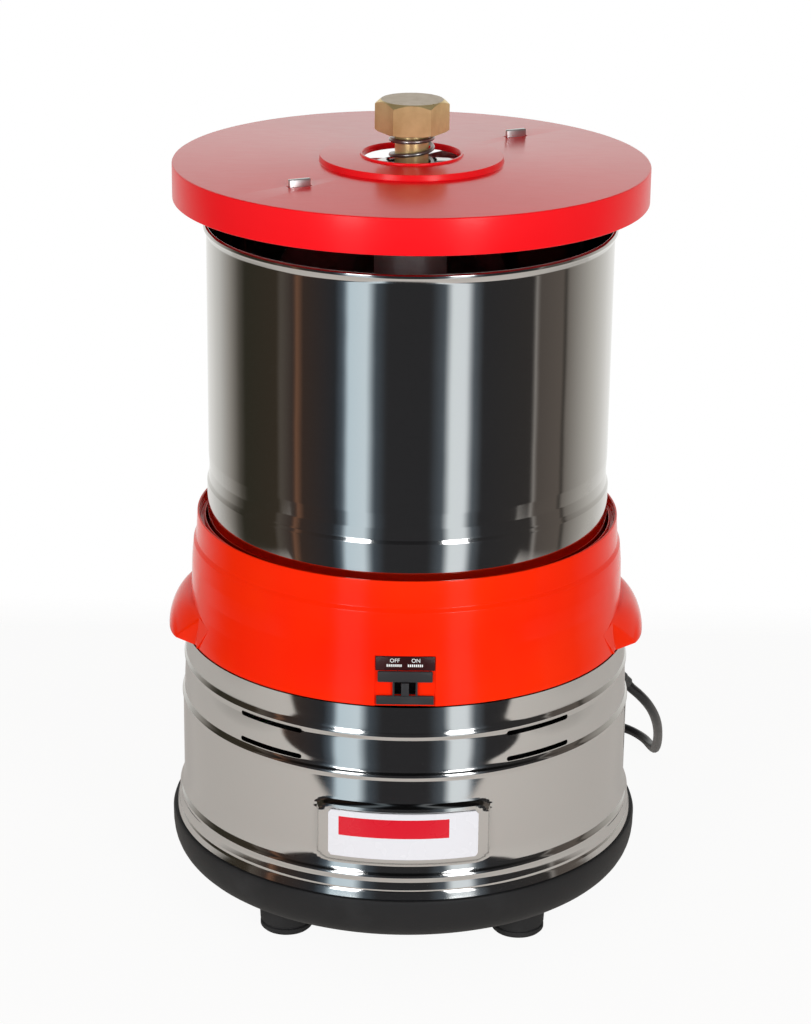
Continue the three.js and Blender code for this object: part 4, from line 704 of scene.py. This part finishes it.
# How far the holder with its stones is turned, and where the two tabs stand and are turned
HOLDER_TURN = 25
TAB_BEARING, TAB_DISTANCE, TAB_TURN = 47.5, 82.6, 25

# Radii of the hole that the bolt's spring stands in, and of the clearance round its barrel
BOLT_HOLE, BARREL_HOLE = 13.2, 9.1


def tab_places():
    """Where the two tabs stand, one on each side of the bolt."""
    bearing = math.radians(TAB_BEARING)
    x, y = TAB_DISTANCE * math.cos(bearing), TAB_DISTANCE * math.sin(bearing)
    return [shift(side * x, side * y) @ spin(TAB_TURN) for side in (-1, 1)]


def lid():
    """The lid's shell with its raised centre, the thin ring round its hole and the tabs' slots."""
    profile = [
        (121.7, 392.1, 0.6), (124, 392.1, 0.6), (124, 410.8, 0.9), (48, 410.8, 0.3), (47.6, 413.9, 0.35),
        (26.9, 413.9, 0.3), (26.6, 415, 0.4), (25.6, 415, 0.4), (25.1, 414.2, 0.3), (25.1, 411.6, 0.3),
        (46, 411.6, 0.3), (47.6, 408.5, 0.4), (121.7, 408.5, 2),
    ]
    slots = [moved(cuboid((-6.4, -2, 390), (6.4, 2, 420)), place) for place in tab_places()]
    mesh = carved(turned(profile, 240), *slots)
    as_piece("lid_shell", mesh, LID_RED, "lid", "lid")


def drum():
    """The spun shell with its shoulder and rolled rim, and the base stone and tube inside it."""
    profile = [
        (9.4, DRUM_BOTTOM, 0.3), (107.6, DRUM_BOTTOM, 8), (107.6, 238, 0.9), (106.7, 239.9, 0.5),
        (106.6, 240.6, 0.5), (106.3, 246, 4), (106.7, 254, 3), (106.7, 373.4, 2), (107.6, 375.4, 1),
        (108.3, 376.6, 0.6), (108.3, 377.8, 0.6), (107.6, DRUM_TOP, 0.6), (106.2, DRUM_TOP, 0.6),
        (105.2, 377, 0.8), (105.2, DRUM_FLOOR, 6.5), (9.4, DRUM_FLOOR, 0.3),
    ]
    as_piece("drum_skin", turned(profile, 256), STEEL, "drum", "drum_shell")
    stone = [
        (14, STONE_BOTTOM, 0.5), (97.2, STONE_BOTTOM), (104.7, 215.3),
        (104.7, STONE_TOP, 0.6), (14, STONE_TOP, 0.6),
    ]
    as_piece("base_stone_slab", turned(stone, 128), GRANITE, "drum", "base_stone")
    tube = [(12, STONE_BOTTOM, 0.3), (13.5, STONE_BOTTOM, 0.3), (13.5, 352, 0.5), (12, 352, 0.5)]
    as_piece("tube_skin", turned(tube, 64), STEEL, "drum", "centre_tube")


# Sleeve: flared skirt, beads, a plaque pressed out of the front and vent slots.
# Heights here are above the sleeve's bottom edge, and a bead is (height, width, rise).
SLEEVE_BEADS = ((11.8, 6, 1), (68.3, 5, 0.75), (90.3, 5.5, 0.9), (4.1, 1.2, -0.3))
SLEEVE_RADIUS, SLEEVE_WALL = 122, 1.2
FLARE, FLARE_HEIGHT = 4.5, 23
VENT_ROWS, VENT_BEARING, VENT_HALF_ANGLE, VENT_HEIGHT = (87.3, 73), 35.5, 9.5, 2.7
PLAQUE = {"half_width": 44.5, "half_height": 16.5, "middle": 35.6, "corner": 7, "rise": 2.5, "ease": 2.4}
CORD_EXIT_BEARING, CORD_EXIT_HEIGHT = 23.4, 100


def smooth(value):
    """0 below 0 and 1 above 1, with a soft passage between them."""
    value = min(max(value, 0), 1)
    return value * value * (3 - 2 * value)


def sleeve_radius(height):
    """The sleeve's outer radius, which flares out at the foot and draws in twice towards the top."""
    radius = SLEEVE_RADIUS + FLARE * max(0, 1 - height / FLARE_HEIGHT) ** 1.5
    radius -= 1 * smooth((height - 66.5) / 5)
    radius -= 0.9 * smooth((height - 74) / 22)
    for middle, width, rise in SLEEVE_BEADS:
        away = abs(height - middle) / (width / 2)
        if away < 1:
            radius += rise * (0.5 + 0.5 * math.cos(math.pi * away))
    return radius


def plaque_rise(across, height):
    """How far the pressed plaque stands out of the sleeve at a place on its front."""
    corner = PLAQUE["corner"]
    dx = abs(across) - (PLAQUE["half_width"] - corner)
    dz = abs(height - PLAQUE["middle"]) - (PLAQUE["half_height"] - corner)
    away = math.hypot(max(dx, 0), max(dz, 0)) + min(max(dx, dz), 0) - corner
    return smooth(0.5 - away / PLAQUE["ease"])


def sleeve():
    around, up = 400, 150
    height = SLEEVE_TOP - SLEEVE_BOTTOM
    front = -0.8  # the sine of the bearings that the plaque lies within
    rings = []
    for h in [height * i / up for i in range(up + 1)]:
        ring = []
        for step in range(around):
            angle = step * TURN / around
            radius = sleeve_radius(h)
            if math.sin(angle) < front:
                share = plaque_rise(radius * math.cos(angle), h)
                radius += (SLEEVE_RADIUS + PLAQUE["rise"] - radius) * share
            ring.append((radius * math.cos(angle), radius * math.sin(angle), SLEEVE_BOTTOM + h))
        rings.append(ring)
    inside = [(118.8, SLEEVE_TOP - 0.3), (108.4, SLEEVE_TOP)]
    inside += [(108.2, SLEEVE_TOP - SLEEVE_WALL), (118.4, SLEEVE_TOP - SLEEVE_WALL)]
    inside += [(sleeve_radius(h) - SLEEVE_WALL, SLEEVE_BOTTOM + h) for h in (88, 64, 36, 18, 0)]
    rings += [level_ring(radius, z, around) for radius, z in inside]
    cutters = []
    for row in VENT_ROWS:
        for face in (-90, 90):
            for side in (-1, 1):
                cutters.append(vent_cutter(face + side * VENT_BEARING, SLEEVE_BOTTOM + row))
    hole = moved(rod(5, 100, 130, 24), spin(90, "Y"))
    cutters.append(moved(hole, shift(z=CORD_EXIT_HEIGHT) @ spin(CORD_EXIT_BEARING)))
    mesh = carved(lofted(rings, joined=True), *cutters)
    as_piece("sleeve_skin", mesh, STEEL, "housing", "sleeve", sharp=30)


def vent_cutter(middle, z):
    """A curved slot with round ends through the sleeve's wall."""
    outline = []
    half = VENT_HEIGHT / 2
    steps = 12
    radius = 121
    reach = math.radians(VENT_HALF_ANGLE) * radius - half
    for end, start in ((1, -TURN / 4), (-1, TURN / 4)):
        for i in range(steps + 1):
            outline.append((end * (-reach + 2 * reach * i / steps), -end * half))
        for i in range(1, 6):
            angle = start + i * TURN / 12
            outline.append((end * reach + half * math.cos(angle), half * math.sin(angle)))
    count = len(outline)
    points = []
    for r in (116, 128):
        for across, up in outline:
            angle = math.radians(middle) + across / radius
            points.append((r * math.cos(angle), r * math.sin(angle), z + up))
    faces = [tuple(range(count)), tuple(range(2 * count - 1, count - 1, -1))]
    faces += [(i, (i + 1) % count, count + (i + 1) % count, count + i) for i in range(count)]
    return closed_mesh(points, faces)


def name_plate():
    """A thin card with round corners, bent to the plaque's face."""
    inner, outer, edge = 124.9, 125.7, 0.2
    around = 60
    half = 39.5
    low, high = 70.8, 96.8
    corner = 1.6
    rings = []
    for i in range(around + 1):
        across = -half + 2 * half * i / around
        cut = max(0, abs(across) - (half - corner))
        trim = corner - math.sqrt(max(corner * corner - cut * cut, 0))
        angle = across / outer
        section = (
            (inner, low + trim), (outer - edge, low + trim), (outer, low + trim + edge),
            (outer, high - trim - edge), (outer - edge, high - trim), (inner, high - trim),
        )
        rings.append([(radius * math.sin(angle), -radius * math.cos(angle), z) for radius, z in section])
    as_piece("name_plate_card", lofted(rings), PLATE, "housing", "name_plate")


# Collar: turned wall with a ridge, two hollow ears, a well and the switch's recess.
# Its side is a list of (height, radius).
COLLAR_FOOT = 119.7
COLLAR_SIDE = [
    (COLLAR_BOTTOM, COLLAR_FOOT), (163, 118.4), (172, 117.3), (183, 116.5), (194, 116.2), (200, 115.7),
    (204, 115.3), (206.2, 113.95), (213, 113.5), (219.6, 113.1),
]


def collar_radius(z):
    if z <= COLLAR_SIDE[0][0]:
        return COLLAR_SIDE[0][1]
    for (z0, r0), (z1, r1) in zip(COLLAR_SIDE, COLLAR_SIDE[1:]):
        if z <= z1:
            return r0 + (r1 - r0) * (z - z0) / (z1 - z0)
    return COLLAR_SIDE[-1][1]


# Ears: how far they stand out, their wall and how deep they are sunk in the collar's
EAR_REACH, EAR_END_REACH, EAR_WALL, EAR_SUNK = 12, 9.8, 2.2, 1.5
# The heights of their widest part and of their crown, in the middle and at the ends
EAR_BULGE, EAR_CROWN, EAR_END_CROWN = 156, 175, 171.5
# Half their width in degrees, at the wall and at the tip, and the two radii
EAR_ROOT, EAR_TIP, ROOT_RADIUS, TIP_RADIUS = 22.5, 13.6, 116.5, 122


def around_axis(radius, degrees, z):
    return (radius * math.cos(math.radians(degrees)), radius * math.sin(math.radians(degrees)), z)


def ear_loft(thin, ends, bottom):
    """The hood of one ear as a closed solid, thinner all over by some millimetres for its pocket."""
    along, steps = 48, 20
    fullness, roundness = 4, 1.2
    rings = []
    for i in range(-along, along + 1):
        place = ends * i / along
        full = 1 - abs(place) ** fullness
        side = []
        for j in range(steps + 1):
            share = j / steps
            out, up = math.sin(share * TURN / 4), math.cos(share * TURN / 4)
            radius = collar_radius(EAR_CROWN) + EAR_REACH * out ** roundness - thin * out
            z = EAR_BULGE + (EAR_CROWN - EAR_BULGE) * up ** roundness - thin * up
            end_radius = collar_radius(EAR_END_CROWN) + EAR_END_REACH * share - thin * 0.6
            end_z = COLLAR_BOTTOM + (EAR_END_CROWN - COLLAR_BOTTOM - thin) * (1 - share)
            side.append((end_radius + (radius - end_radius) * full, end_z + (z - end_z) * full))
        side.append((side[-1][0] - 0.001 * thin, bottom))
        side.append((collar_radius(bottom) - EAR_SUNK, bottom))
        side.append((collar_radius(side[0][1]) - EAR_SUNK, side[0][1]))
        ring = []
        for radius, z in side:
            out = min(max((radius - ROOT_RADIUS) / EAR_END_REACH, 0), 1)
            ring.append(around_axis(radius, place * (EAR_ROOT + (EAR_TIP - EAR_ROOT) * out), z))
        rings.append(ring)
    return lofted(rings)


def ear_gusset(side):
    """The small slanting facet between an ear's end and the collar's wall."""
    corners = ((21, 171.2, 0.5), (22.4, COLLAR_BOTTOM, 0.9), (27.5, 168.4, 0.05))
    rings = [[around_axis(collar_radius(z) + proud, side * degrees, z) for degrees, z, proud in corners]]
    rings.append([around_axis(collar_radius(z) - EAR_SUNK, side * degrees, z) for degrees, z, _ in corners])
    return lofted(rings)


def ear():
    """One ear with its finger pocket and both gussets."""
    pocket_ends = 1 - EAR_WALL / (TIP_RADIUS * math.radians(EAR_TIP))
    pocket = ear_loft(EAR_WALL, pocket_ends, COLLAR_BOTTOM - 3)
    return merged(carved(ear_loft(0, 1, COLLAR_BOTTOM), pocket), ear_gusset(1), ear_gusset(-1))


# The wall leans in by 3.1 mm over the height of the switch
WALL_LEAN = math.atan2(COLLAR_FOOT - 116.6, 27)


def corner_places(distance):
    """Four places at a distance from the axis: rear right, rear left, front left and front right."""
    return [spin(45 + 90 * quarter) @ shift(distance) for quarter in range(4)]


def on_front(mesh):
    """Puts a shape drawn in the switch's own frame on the collar's front."""
    return moved(mesh, shift(0, -COLLAR_FOOT, COLLAR_BOTTOM) @ Matrix.Rotation(-WALL_LEAN, 4, "X"))


def collar():
    side = [(radius, z, 0.9) for z, radius in COLLAR_SIDE[1:-1]]
    profile = [(116.7, COLLAR_BOTTOM, 0.4), (COLLAR_FOOT, COLLAR_BOTTOM, 0.5)] + side + [
        (113.1, 220.4, 0.5), (111.9, 220.4, 0.5), (111.6, 215, 0.5), (109.3, 215, 0.4),
        (109.3, 218, 0.35), (108.6, 218, 0.35), (108.2, WELL_FLOOR, 2.5), (43, WELL_FLOOR, 0.6),
        (43, 190.8, 0.6), (40, 190.8, 0.6), (40, 186, 0.4), (113.5, 186, 0.8), (115.2, 165),
    ]
    wall = turned(profile, 256)
    cutters = [
        on_front(cuboid((-15.5, -6, -6), (15.5, 2, 27))),
        on_front(cuboid((-5.4, -1, 5.9), (5.4, 6, 13.1))),
    ]
    body = carved(wall, *cutters)
    boss = [(0, 153), (5, 153, 0.4), (5, 188.2), (0, 188.2)]
    bosses = [moved(turned(boss, 24), place) for place in corner_places(98)]
    mesh = merged(body, ear(), moved(ear(), spin(180)), *bosses)
    as_piece("collar_moulding", mesh, COLLAR_ORANGE, "housing", "collar", sharp=28)


# Where the four screw towers and the feet stand
TOWER_DISTANCE = 89


def pan_side(radius, bottom, height):
    """The pan's full-bodied rounding, from its flat bottom outwards and up."""
    steps, fullness, reach = 16, 3.2, 39.5
    side = []
    for i in range(steps + 1):
        angle = i / steps * TURN / 4
        out, down = math.sin(angle) ** (2 / fullness), math.cos(angle) ** (2 / fullness)
        side.append((radius + reach * out, bottom + height * (1 - down)))
    return side


def pan():
    """The base pan with its vents and screw towers."""
    floor_top = PAN_BOTTOM + 4
    profile = [(0, PAN_BOTTOM)] + pan_side(89, PAN_BOTTOM, 26) + [(127.9, PAN_TOP, 0.5), (124.5, PAN_TOP, 0.5)]
    profile += pan_side(85, floor_top, 22)[::-1] + [(0, floor_top)]
    cutters = []
    for vent in range(8):
        outline = rounded_box(30, 4, 1.99, 5)
        cutters.append(moved(raised(outline, 17, 27), spin(45 * vent) @ shift(48)))
    bowl = carved(turned(profile, 200), *cutters)
    tower = [(0, 22), (9, 22), (6.5, 149.9, 0.5), (0, 149.9)]
    towers = [moved(turned(tower, 32), place) for place in corner_places(TOWER_DISTANCE)]
    as_piece("pan_moulding", merged(bowl, *towers), PAN_BLACK, "housing", "base_pan")


def feet():
    """The rubber feet: a tread, a groove above it and a body that widens upwards."""
    profile = [
        (0, 0), (13, 0), (14.2, 1.2, 0.8), (14.2, 3.4, 0.4), (13.2, 3.7, 0.2), (13.2, 4.6, 0.2),
        (14.2, 4.9, 0.4), (15, 19.7, 0.8), (0, 19.7),
    ]
    names = ("foot_rear_right", "foot_rear_left", "foot_front_left", "foot_front_right")
    for name, place in zip(names, corner_places(TOWER_DISTANCE)):
        as_piece(name + "_rubber", moved(turned(profile, 64), place), RUBBER, "housing", name)


def bolt():
    """The brass bolt: a hexagon head, chamfered above and below, on a barrel."""
    flat, chamfer, reach = 16.7, 16.2, 60
    corner = flat / math.cos(TURN / 12)
    outline = [(corner * math.cos(i * TURN / 6), corner * math.sin(i * TURN / 6)) for i in range(6)]
    head = raised(outline, HEAD_BOTTOM, HEAD_TOP)
    slope = 2.4 * (reach - chamfer) / (corner - chamfer)
    above = [
        (chamfer, HEAD_TOP), (reach, HEAD_TOP - slope), (reach, 460), (10, 460), (10, 442.9), (16, 442.9),
    ]
    below = [(17.4, 426.3), (reach, 426.3 + 0.4 * (reach - 17.4)), (reach, 420), (17.4, 420)]
    cutters = [turned(above, 128), turned(below, 128)]
    head = edged(carved(head, *cutters), 0.25, 2)
    barrel = turned([(5.3, 388.4, 0.3), (8.8, 388.4, 0.5), (8.8, 427), (5.3, 427)], 64)
    as_piece("brass_bolt", merged(head, barrel), BRASS, "bolt", "tension_bolt", sharp=25)


def washer(radius, bottom, top):
    profile = [(BARREL_HOLE, bottom, 0.2), (radius, bottom, 0.3), (radius, top, 0.3), (BARREL_HOLE, top, 0.2)]
    return turned(profile, 64)


def washers():
    as_piece("top_washer", washer(12, 425.1, 426.1), PLAIN, "washer", "spring_washer")
    as_piece("low_seat", washer(12.9, 386.3, 388.3), PLAIN, "housing", "spring_seat")


def spring():
    """A right-hand coil with closed, flattened ends."""
    coil_radius, wire_radius = 10.9, 1.1
    closed, active, drop = 0.75, 3.75, 1.7
    height = SPRING_LENGTH - 2 * wire_radius
    steps = 130
    turns = 2 * closed + active
    centres = []
    for i in range(steps + 1):
        done = turns * i / steps
        fall = min(done, closed) * drop / closed
        fall += min(max(done - closed, 0), active) * (height - 2 * drop) / active
        fall += max(done - closed - active, 0) * drop / closed
        angle = TURN / 4 - done * TURN
        z = SPRING_BOTTOM + wire_radius + height - fall
        centres.append(Vector((coil_radius * math.cos(angle), coil_radius * math.sin(angle), z)))
    rings = []
    for i, centre in enumerate(centres):
        along = (centres[min(i + 1, steps)] - centres[max(i - 1, 0)]).normalized()
        out = Vector((centre.x, centre.y, 0)).normalized()
        up = along.cross(out).normalized()
        ring = hoop(centre, out, up, wire_radius, 12)
        for spot in ring:
            spot.z = min(max(spot.z, SPRING_BOTTOM), SPRING_BOTTOM + SPRING_LENGTH)
        rings.append(ring)
    wire = as_piece("spring_wire", lofted(rings), PLAIN, None, "tension_spring", sharp=60)
    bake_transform(wire)


def bridge():
    """The polished bridge under the lid: two crowned arms and a hub round the bolt."""
    bottom = 407.5
    outline = [(-9, 0), (9, 0), (8.6, 1.3), (6.5, 3), (4, 3.8), (-4, 3.8), (-6.5, 3), (-8.6, 1.3)]
    arms = edged(raised(outline, -43, 43), 0.5, 3)
    arms = moved(arms, shift(z=bottom) @ spin(96) @ spin(90, "X"))
    arms = carved(arms, rod(BOLT_HOLE, 400, 420, 64))
    hub = turned([
        (BOLT_HOLE, bottom, 0.3), (18, bottom, 0.3), (18, 409.5, 0.6), (BOLT_HOLE, 409.5, 0.6),
    ], 96)
    as_piece("bridge_steel", merged(arms, hub), STEEL, "housing", "lid_bridge")


def tab_strip():
    """The flat bar across the holder's top, with a tab standing up at each end."""
    strip = edged(raised(rounded_box(175.2, 30, 7), 404.7, 407.2), 0.4, 2)
    strip = carved(moved(strip, spin(TAB_BEARING)), rod(BOLT_HOLE, 400, 412, 64))
    tabs = []
    for place in tab_places():
        tab = edged(cuboid((-5.75, -1.35, 405.5), (5.75, 1.35, 414.6)), 0.5, 3)
        tabs.append(moved(tab, place))
    as_piece("tab_strip", merged(strip, *tabs), TAB_STEEL, "housing", "tab_bar")


def holder():
    """The holder's block and neck, with the stones, bushes and axles on both sides."""
    bore_radius, axle_bore = 15.5, 8.3
    block = edged(raised(rounded_box(40, 38, 5), 240.3, 302.3), 0.8, 3)
    neck = turned([
        (bore_radius, 300), (19, 300), (19, HOLDER_TOP, 0.6), (BOLT_HOLE, HOLDER_TOP, 0.6),
        (BOLT_HOLE, 386), (BARREL_HOLE, 386), (BARREL_HOLE, 355.1), (bore_radius, 355.1),
    ], 96)
    axle_hole = moved(rod(axle_bore, -30, 30, 32), shift(z=AXLE_HEIGHT) @ spin(90, "Y"))
    block = carved(block, rod(bore_radius, 230, 310, 64), axle_hole)
    tower = moved(merged(block, neck), spin(HOLDER_TURN))
    as_piece("tower_casting", tower, ALUMINIUM, "housing", "holder_tower")
    for side, word in ((1, "right"), (-1, "left")):
        lay = spin(HOLDER_TURN) @ shift(z=AXLE_HEIGHT) @ spin(side * 90, "Y")
        stone = turned([(12.3, 26, 0.5), (48, 26, 2.5), (48, 80, 2.5), (12.3, 80, 0.5)], 128)
        as_piece("roller_granite_" + word, moved(stone, lay), GRANITE, "roller_" + word, "roller_stone_" + word)
        bush = turned([
            (axle_bore, 20.3), (17, 20.3, 0.5), (17, 25.7, 0.5),
            (12, 25.7), (12, 80.4, 0.4), (axle_bore, 80.4, 0.3),
        ], 64)
        as_piece("bush_nylon_" + word, moved(bush, lay), NYLON, "roller_" + word, "stone_bush_" + word)
        axle = turned([
            (0, 16), (8, 16), (8, 80.7), (14, 80.7, 0.4), (14, 85.7, 1.2), (5, 85.7, 0.2), (4, 83.2), (0, 83.2),
        ], 64)
        as_piece("axle_steel_" + word, moved(axle, lay), PLAIN, "housing", "roller_axle_" + word)


def boot():
    """The tapered strain relief, bending down to the cord."""
    bearing = math.radians(CORD_EXIT_BEARING)
    outward = Vector((math.cos(bearing), math.sin(bearing), 0))
    side = Vector((-math.sin(bearing), math.cos(bearing), 0))
    # A station is (way out, way down, radius, slope). A collar comes first, then a bend with grooves.
    level = ((-8, 4.7), (0, 4.7), (0.05, 6.6), (0.4, 7), (2, 7), (2.4, 6.6), (2.5, 5.4), (4, 5.2), (6, 5.2))
    stations = [(out, 0, radius, 0) for out, radius in level]
    bend, bend_radius = math.radians(46), 12
    thick, thin = 5.2, 3.7
    for i in range(1, 13):
        share = i / 12
        angle = share * bend
        radius = thick + (thin - thick) * share ** 2
        groove = 0.45 if i % 3 == 2 else 0
        out, down = 6 + bend_radius * math.sin(angle), bend_radius * (1 - math.cos(angle))
        stations.append((out, down, radius - groove, angle))
    end = stations[-1]
    for length, radius in ((2.6, thin), (3, 3.3)):
        stations.append((end[0] + length * math.cos(bend), end[1] + length * math.sin(bend), radius, bend))
    sleeve_face = 122.3
    rings = []
    for out, down, radius, slope in stations:
        centre = outward * (sleeve_face + out) + Vector((0, 0, CORD_EXIT_HEIGHT - down))
        up = Vector((0, 0, math.cos(slope))) + outward * math.sin(slope)
        rings.append(hoop(centre, side, up, radius, 32))
    as_piece("boot_moulding", lofted(rings), BOOT, "housing", "strain_relief", sharp=50)


# Switch: label strip, bezel and nub, with the words that such a switch carries.
# Its own frame has X to the right, Y into the wall and Z up from the collar's foot.

def letters(name, text, x, z, size):
    curve = bpy.data.curves.new(name, "FONT")
    curve.body = text
    curve.size = size * MM
    curve.align_x = "CENTER"
    curve.align_y = "CENTER"
    curve.extrude = 0.03 * MM
    curve.materials.append(INK)
    mesh = moved(applied(added(name, curve)), shift(x, 0.58, z) @ spin(90, "X"))
    as_piece(name, on_front(mesh), INK, "housing")


def switch():
    back = 1.7
    label = edged(cuboid((-15.1, 0.6, 19.2), (15.1, back, 26.6)), 0.25, 2)
    as_piece("label_strip", on_front(label), LABEL_BLACK, "housing", "switch_label")
    bezel = merged(
        edged(cuboid((-14, 0, 13.1), (14, back, 18.8)), 0.45, 3),
        edged(cuboid((-14.7, 0, 1.3), (14.7, back, 5.9)), 0.45, 3),
        cuboid((-6.4, 0.35, 5), (-5.4, back, 14)),
        cuboid((5.4, 0.35, 5), (6.4, back, 14)),
    )
    as_piece("bezel_moulding", on_front(bezel), SWITCH_BLACK, "housing", "switch_bezel")
    nub = edged(cuboid((-2, -1, 6.2), (2, 9, 12.8)), 0.4, 3)
    as_piece("nub_moulding", on_front(nub), SWITCH_BLACK, "switch", "switch_slider")
    letters("word_off", "OFF", -5.4, 24.4, 2.9)
    letters("word_on", "ON", 5.4, 24.4, 2.9)
    for name, x in (("marks_off", -5.5), ("marks_on", 5.3)):
        dots = [cuboid((x - 4 + i, 0.55, 21.2), (x - 3.4 + i, 0.62, 22.5)) for i in range(8)]
        as_piece(name, on_front(merged(*dots)), INK, "housing")


lid()
drum()
sleeve()
name_plate()
collar()
pan()
feet()
bolt()
washers()
spring()
bridge()
tab_strip()
holder()
boot()
switch()

# The inner works keep their CAD shapes, each with its own finish
FINISHES = {
    "deck_plate": PLAIN, "seat_bearing_low": PLAIN, "seat_bearing_high": PLAIN, "drum_coupling": PLAIN,
    "motor_bearing_top": PLAIN, "motor_bearing_bottom": PLAIN, "motor_shaft": PLAIN, "motor_pulley": PLAIN,
    "centre_shaft": PLAIN, "scraper_arm": PLAIN,
    "shaft_flange": ALUMINIUM, "drum_seat": ALUMINIUM, "driven_pulley": ALUMINIUM,
    "motor_bracket_top": ALUMINIUM, "motor_bracket_bottom": ALUMINIUM,
    "motor_stator": IRON, "motor_rotor": IRON, "winding_top": COPPER, "winding_bottom": COPPER,
    "motor_fan": NYLON, "run_capacitor": NYLON, "terminal_block": NYLON, "scraper_blade": NYLON,
    "switch_body": SWITCH_BLACK, "drive_belt": RUBBER, "tube_seal": RUBBER,
}
for node, material in FINISHES.items():
    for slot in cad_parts[node].material_slots:
        slot.material = material


# Studio: a white floor and backdrop, soft lamps, and a surrounding that polished steel mirrors

def floor():
    """White paper that keeps the object's shadow and fades out at its edges, its front edge slightly askew."""
    mesh = bpy.data.meshes.new("floor")
    below = -0.2 * MM
    corners = [(-0.64, -0.46), (0.64, -0.46), (0.64, 0.44), (-0.64, 0.44)]
    mesh.from_pydata([(x, y, below) for x, y in corners], [], [(0, 1, 2, 3)])
    ground = added("floor", mesh)
    paint = Paint("floor_paper", (0.95, 0.9, 0.83), Roughness=0.9)
    seen = paint.ray("Camera") * 0.93 + paint.ray("Glossy", "Transmission") * 0.1
    glow = paint.node("ShaderNodeEmission")
    lit = paint.mixed(seen, Signal(paint, paint.shader.outputs[0]), glow)
    x, y, _ = paint.axes()
    front = paint.limits(y * -1 - x * 0.04, 0.285, 0.298, 1, 0)
    kept = front * paint.limits(y, 0.36, 0.42, 1, 0) * paint.limits(x * x, 0.18, 0.38, 1, 0)
    whole = paint.mixed(kept, paint.node("ShaderNodeBsdfTransparent"), lit)
    paint.feed(paint.tree.nodes["Material Output"].inputs["Surface"], whole)
    mesh.materials.append(paint.material)


LAMP_TARGET = Vector((0, 0, 0.25))


def lamp(name, place, size, power):
    data = bpy.data.lights.new(name, "AREA")
    data.shape = "RECTANGLE"
    data.size, data.size_y = size
    data.energy = power
    light = added(name, data)
    light.location = place
    aim = LAMP_TARGET - Vector(place)
    light.rotation_euler = aim.to_track_quat("-Z", "Y").to_euler()
    return light


# The surrounding by compass direction, from -180 to 180 degrees, with 0 at the front: (degrees, colour)
WHITE, SHADE = (0.95, 0.95, 0.93), (0.03, 0.03, 0.032)
SURROUNDING = [
    (-180, WHITE), (-150, (0.8, 0.79, 0.76)), (-136, (0.62, 0.61, 0.58)), (-122, (0.33, 0.31, 0.28)),
    (-112, (0.1, 0.09, 0.075)), (-106, (0.035, 0.032, 0.022)), (-80, (0.045, 0.035, 0.024)),
    (-77, (0.1, 0.085, 0.07)), (-68, (0.05, 0.035, 0.03)), (-66, (0.2, 0.1, 0.06)), (-62, (0.05, 0.033, 0.026)),
    (-42, (0.028, 0.03, 0.034)), (-37, (0.1, 0.13, 0.16)), (-34, (0.68, 0.82, 0.9)), (-24, (0.76, 0.88, 0.95)),
    (-19, (0.08, 0.1, 0.12)), (-12, SHADE), (12, SHADE), (20, (0.1, 0.12, 0.14)), (24, (0.9, 0.97, 1.0)),
    (32, (0.9, 0.96, 1.0)), (36, (0.12, 0.14, 0.16)), (42, SHADE), (74, (0.04, 0.036, 0.034)),
    (76, (0.3, 0.28, 0.26)), (78, (0.1, 0.085, 0.075)), (96, (0.13, 0.11, 0.095)), (98, (0.04, 0.035, 0.03)),
    (101, (0.2, 0.18, 0.16)), (124, (0.52, 0.5, 0.46)), (152, (0.85, 0.84, 0.81)), (180, WHITE),
]


def surrounding():
    """White to the camera, the strips of SURROUNDING in mirrors, and a soft grey as light on the object."""
    world = bpy.data.worlds.new("studio")
    bpy.context.scene.world = world
    world.use_nodes = True
    world.node_tree.nodes.clear()
    sky = Nodes(world.node_tree)
    black, white = opaque((0, 0, 0)), opaque((1, 1, 1))
    x, y, z = sky.axes("Generated")
    share = x.math("ARCTAN2", y * -1) * (1 / TURN) + 0.5
    stops = [((degrees + 180) / 360, opaque(color)) for degrees, color in SURROUNDING]
    strips = sky.node("ShaderNodeValToRGB", {"stops": stops}, {0: share})
    mirrored = sky.blend(sky.limits(z, 0.36, 0.56, 0, 0.85), strips, black)
    level = sky.limits(z, -0.6, 0, 0.35, 1) * sky.limits(z, 0.15, 0.8, 1, 0.3)
    soft = sky.blend(level, black, opaque((0.82, 0.82, 0.82)))
    unseen = sky.blend(sky.ray("Glossy", "Transmission"), soft, mirrored)
    shown = sky.blend(sky.ray("Camera"), unseen, white)
    glow = sky.node("ShaderNodeBackground", values={"Color": shown})
    sky.node("ShaderNodeOutputWorld", values={"Surface": glow})


floor()
surrounding()
# Each side has a softbox that mirrors show and a fill that they don't
for side, word, power in ((-1, "left", 4.5), (1, "right", 5)):
    lamp("softbox_" + word, (side * 0.73, -1.43, 0.62), (0.36, 0.9), power)
    lamp("fill_" + word, (side * 0.74, -1.45, 0.62), (0.5, 0.9), power).visible_glossy = False
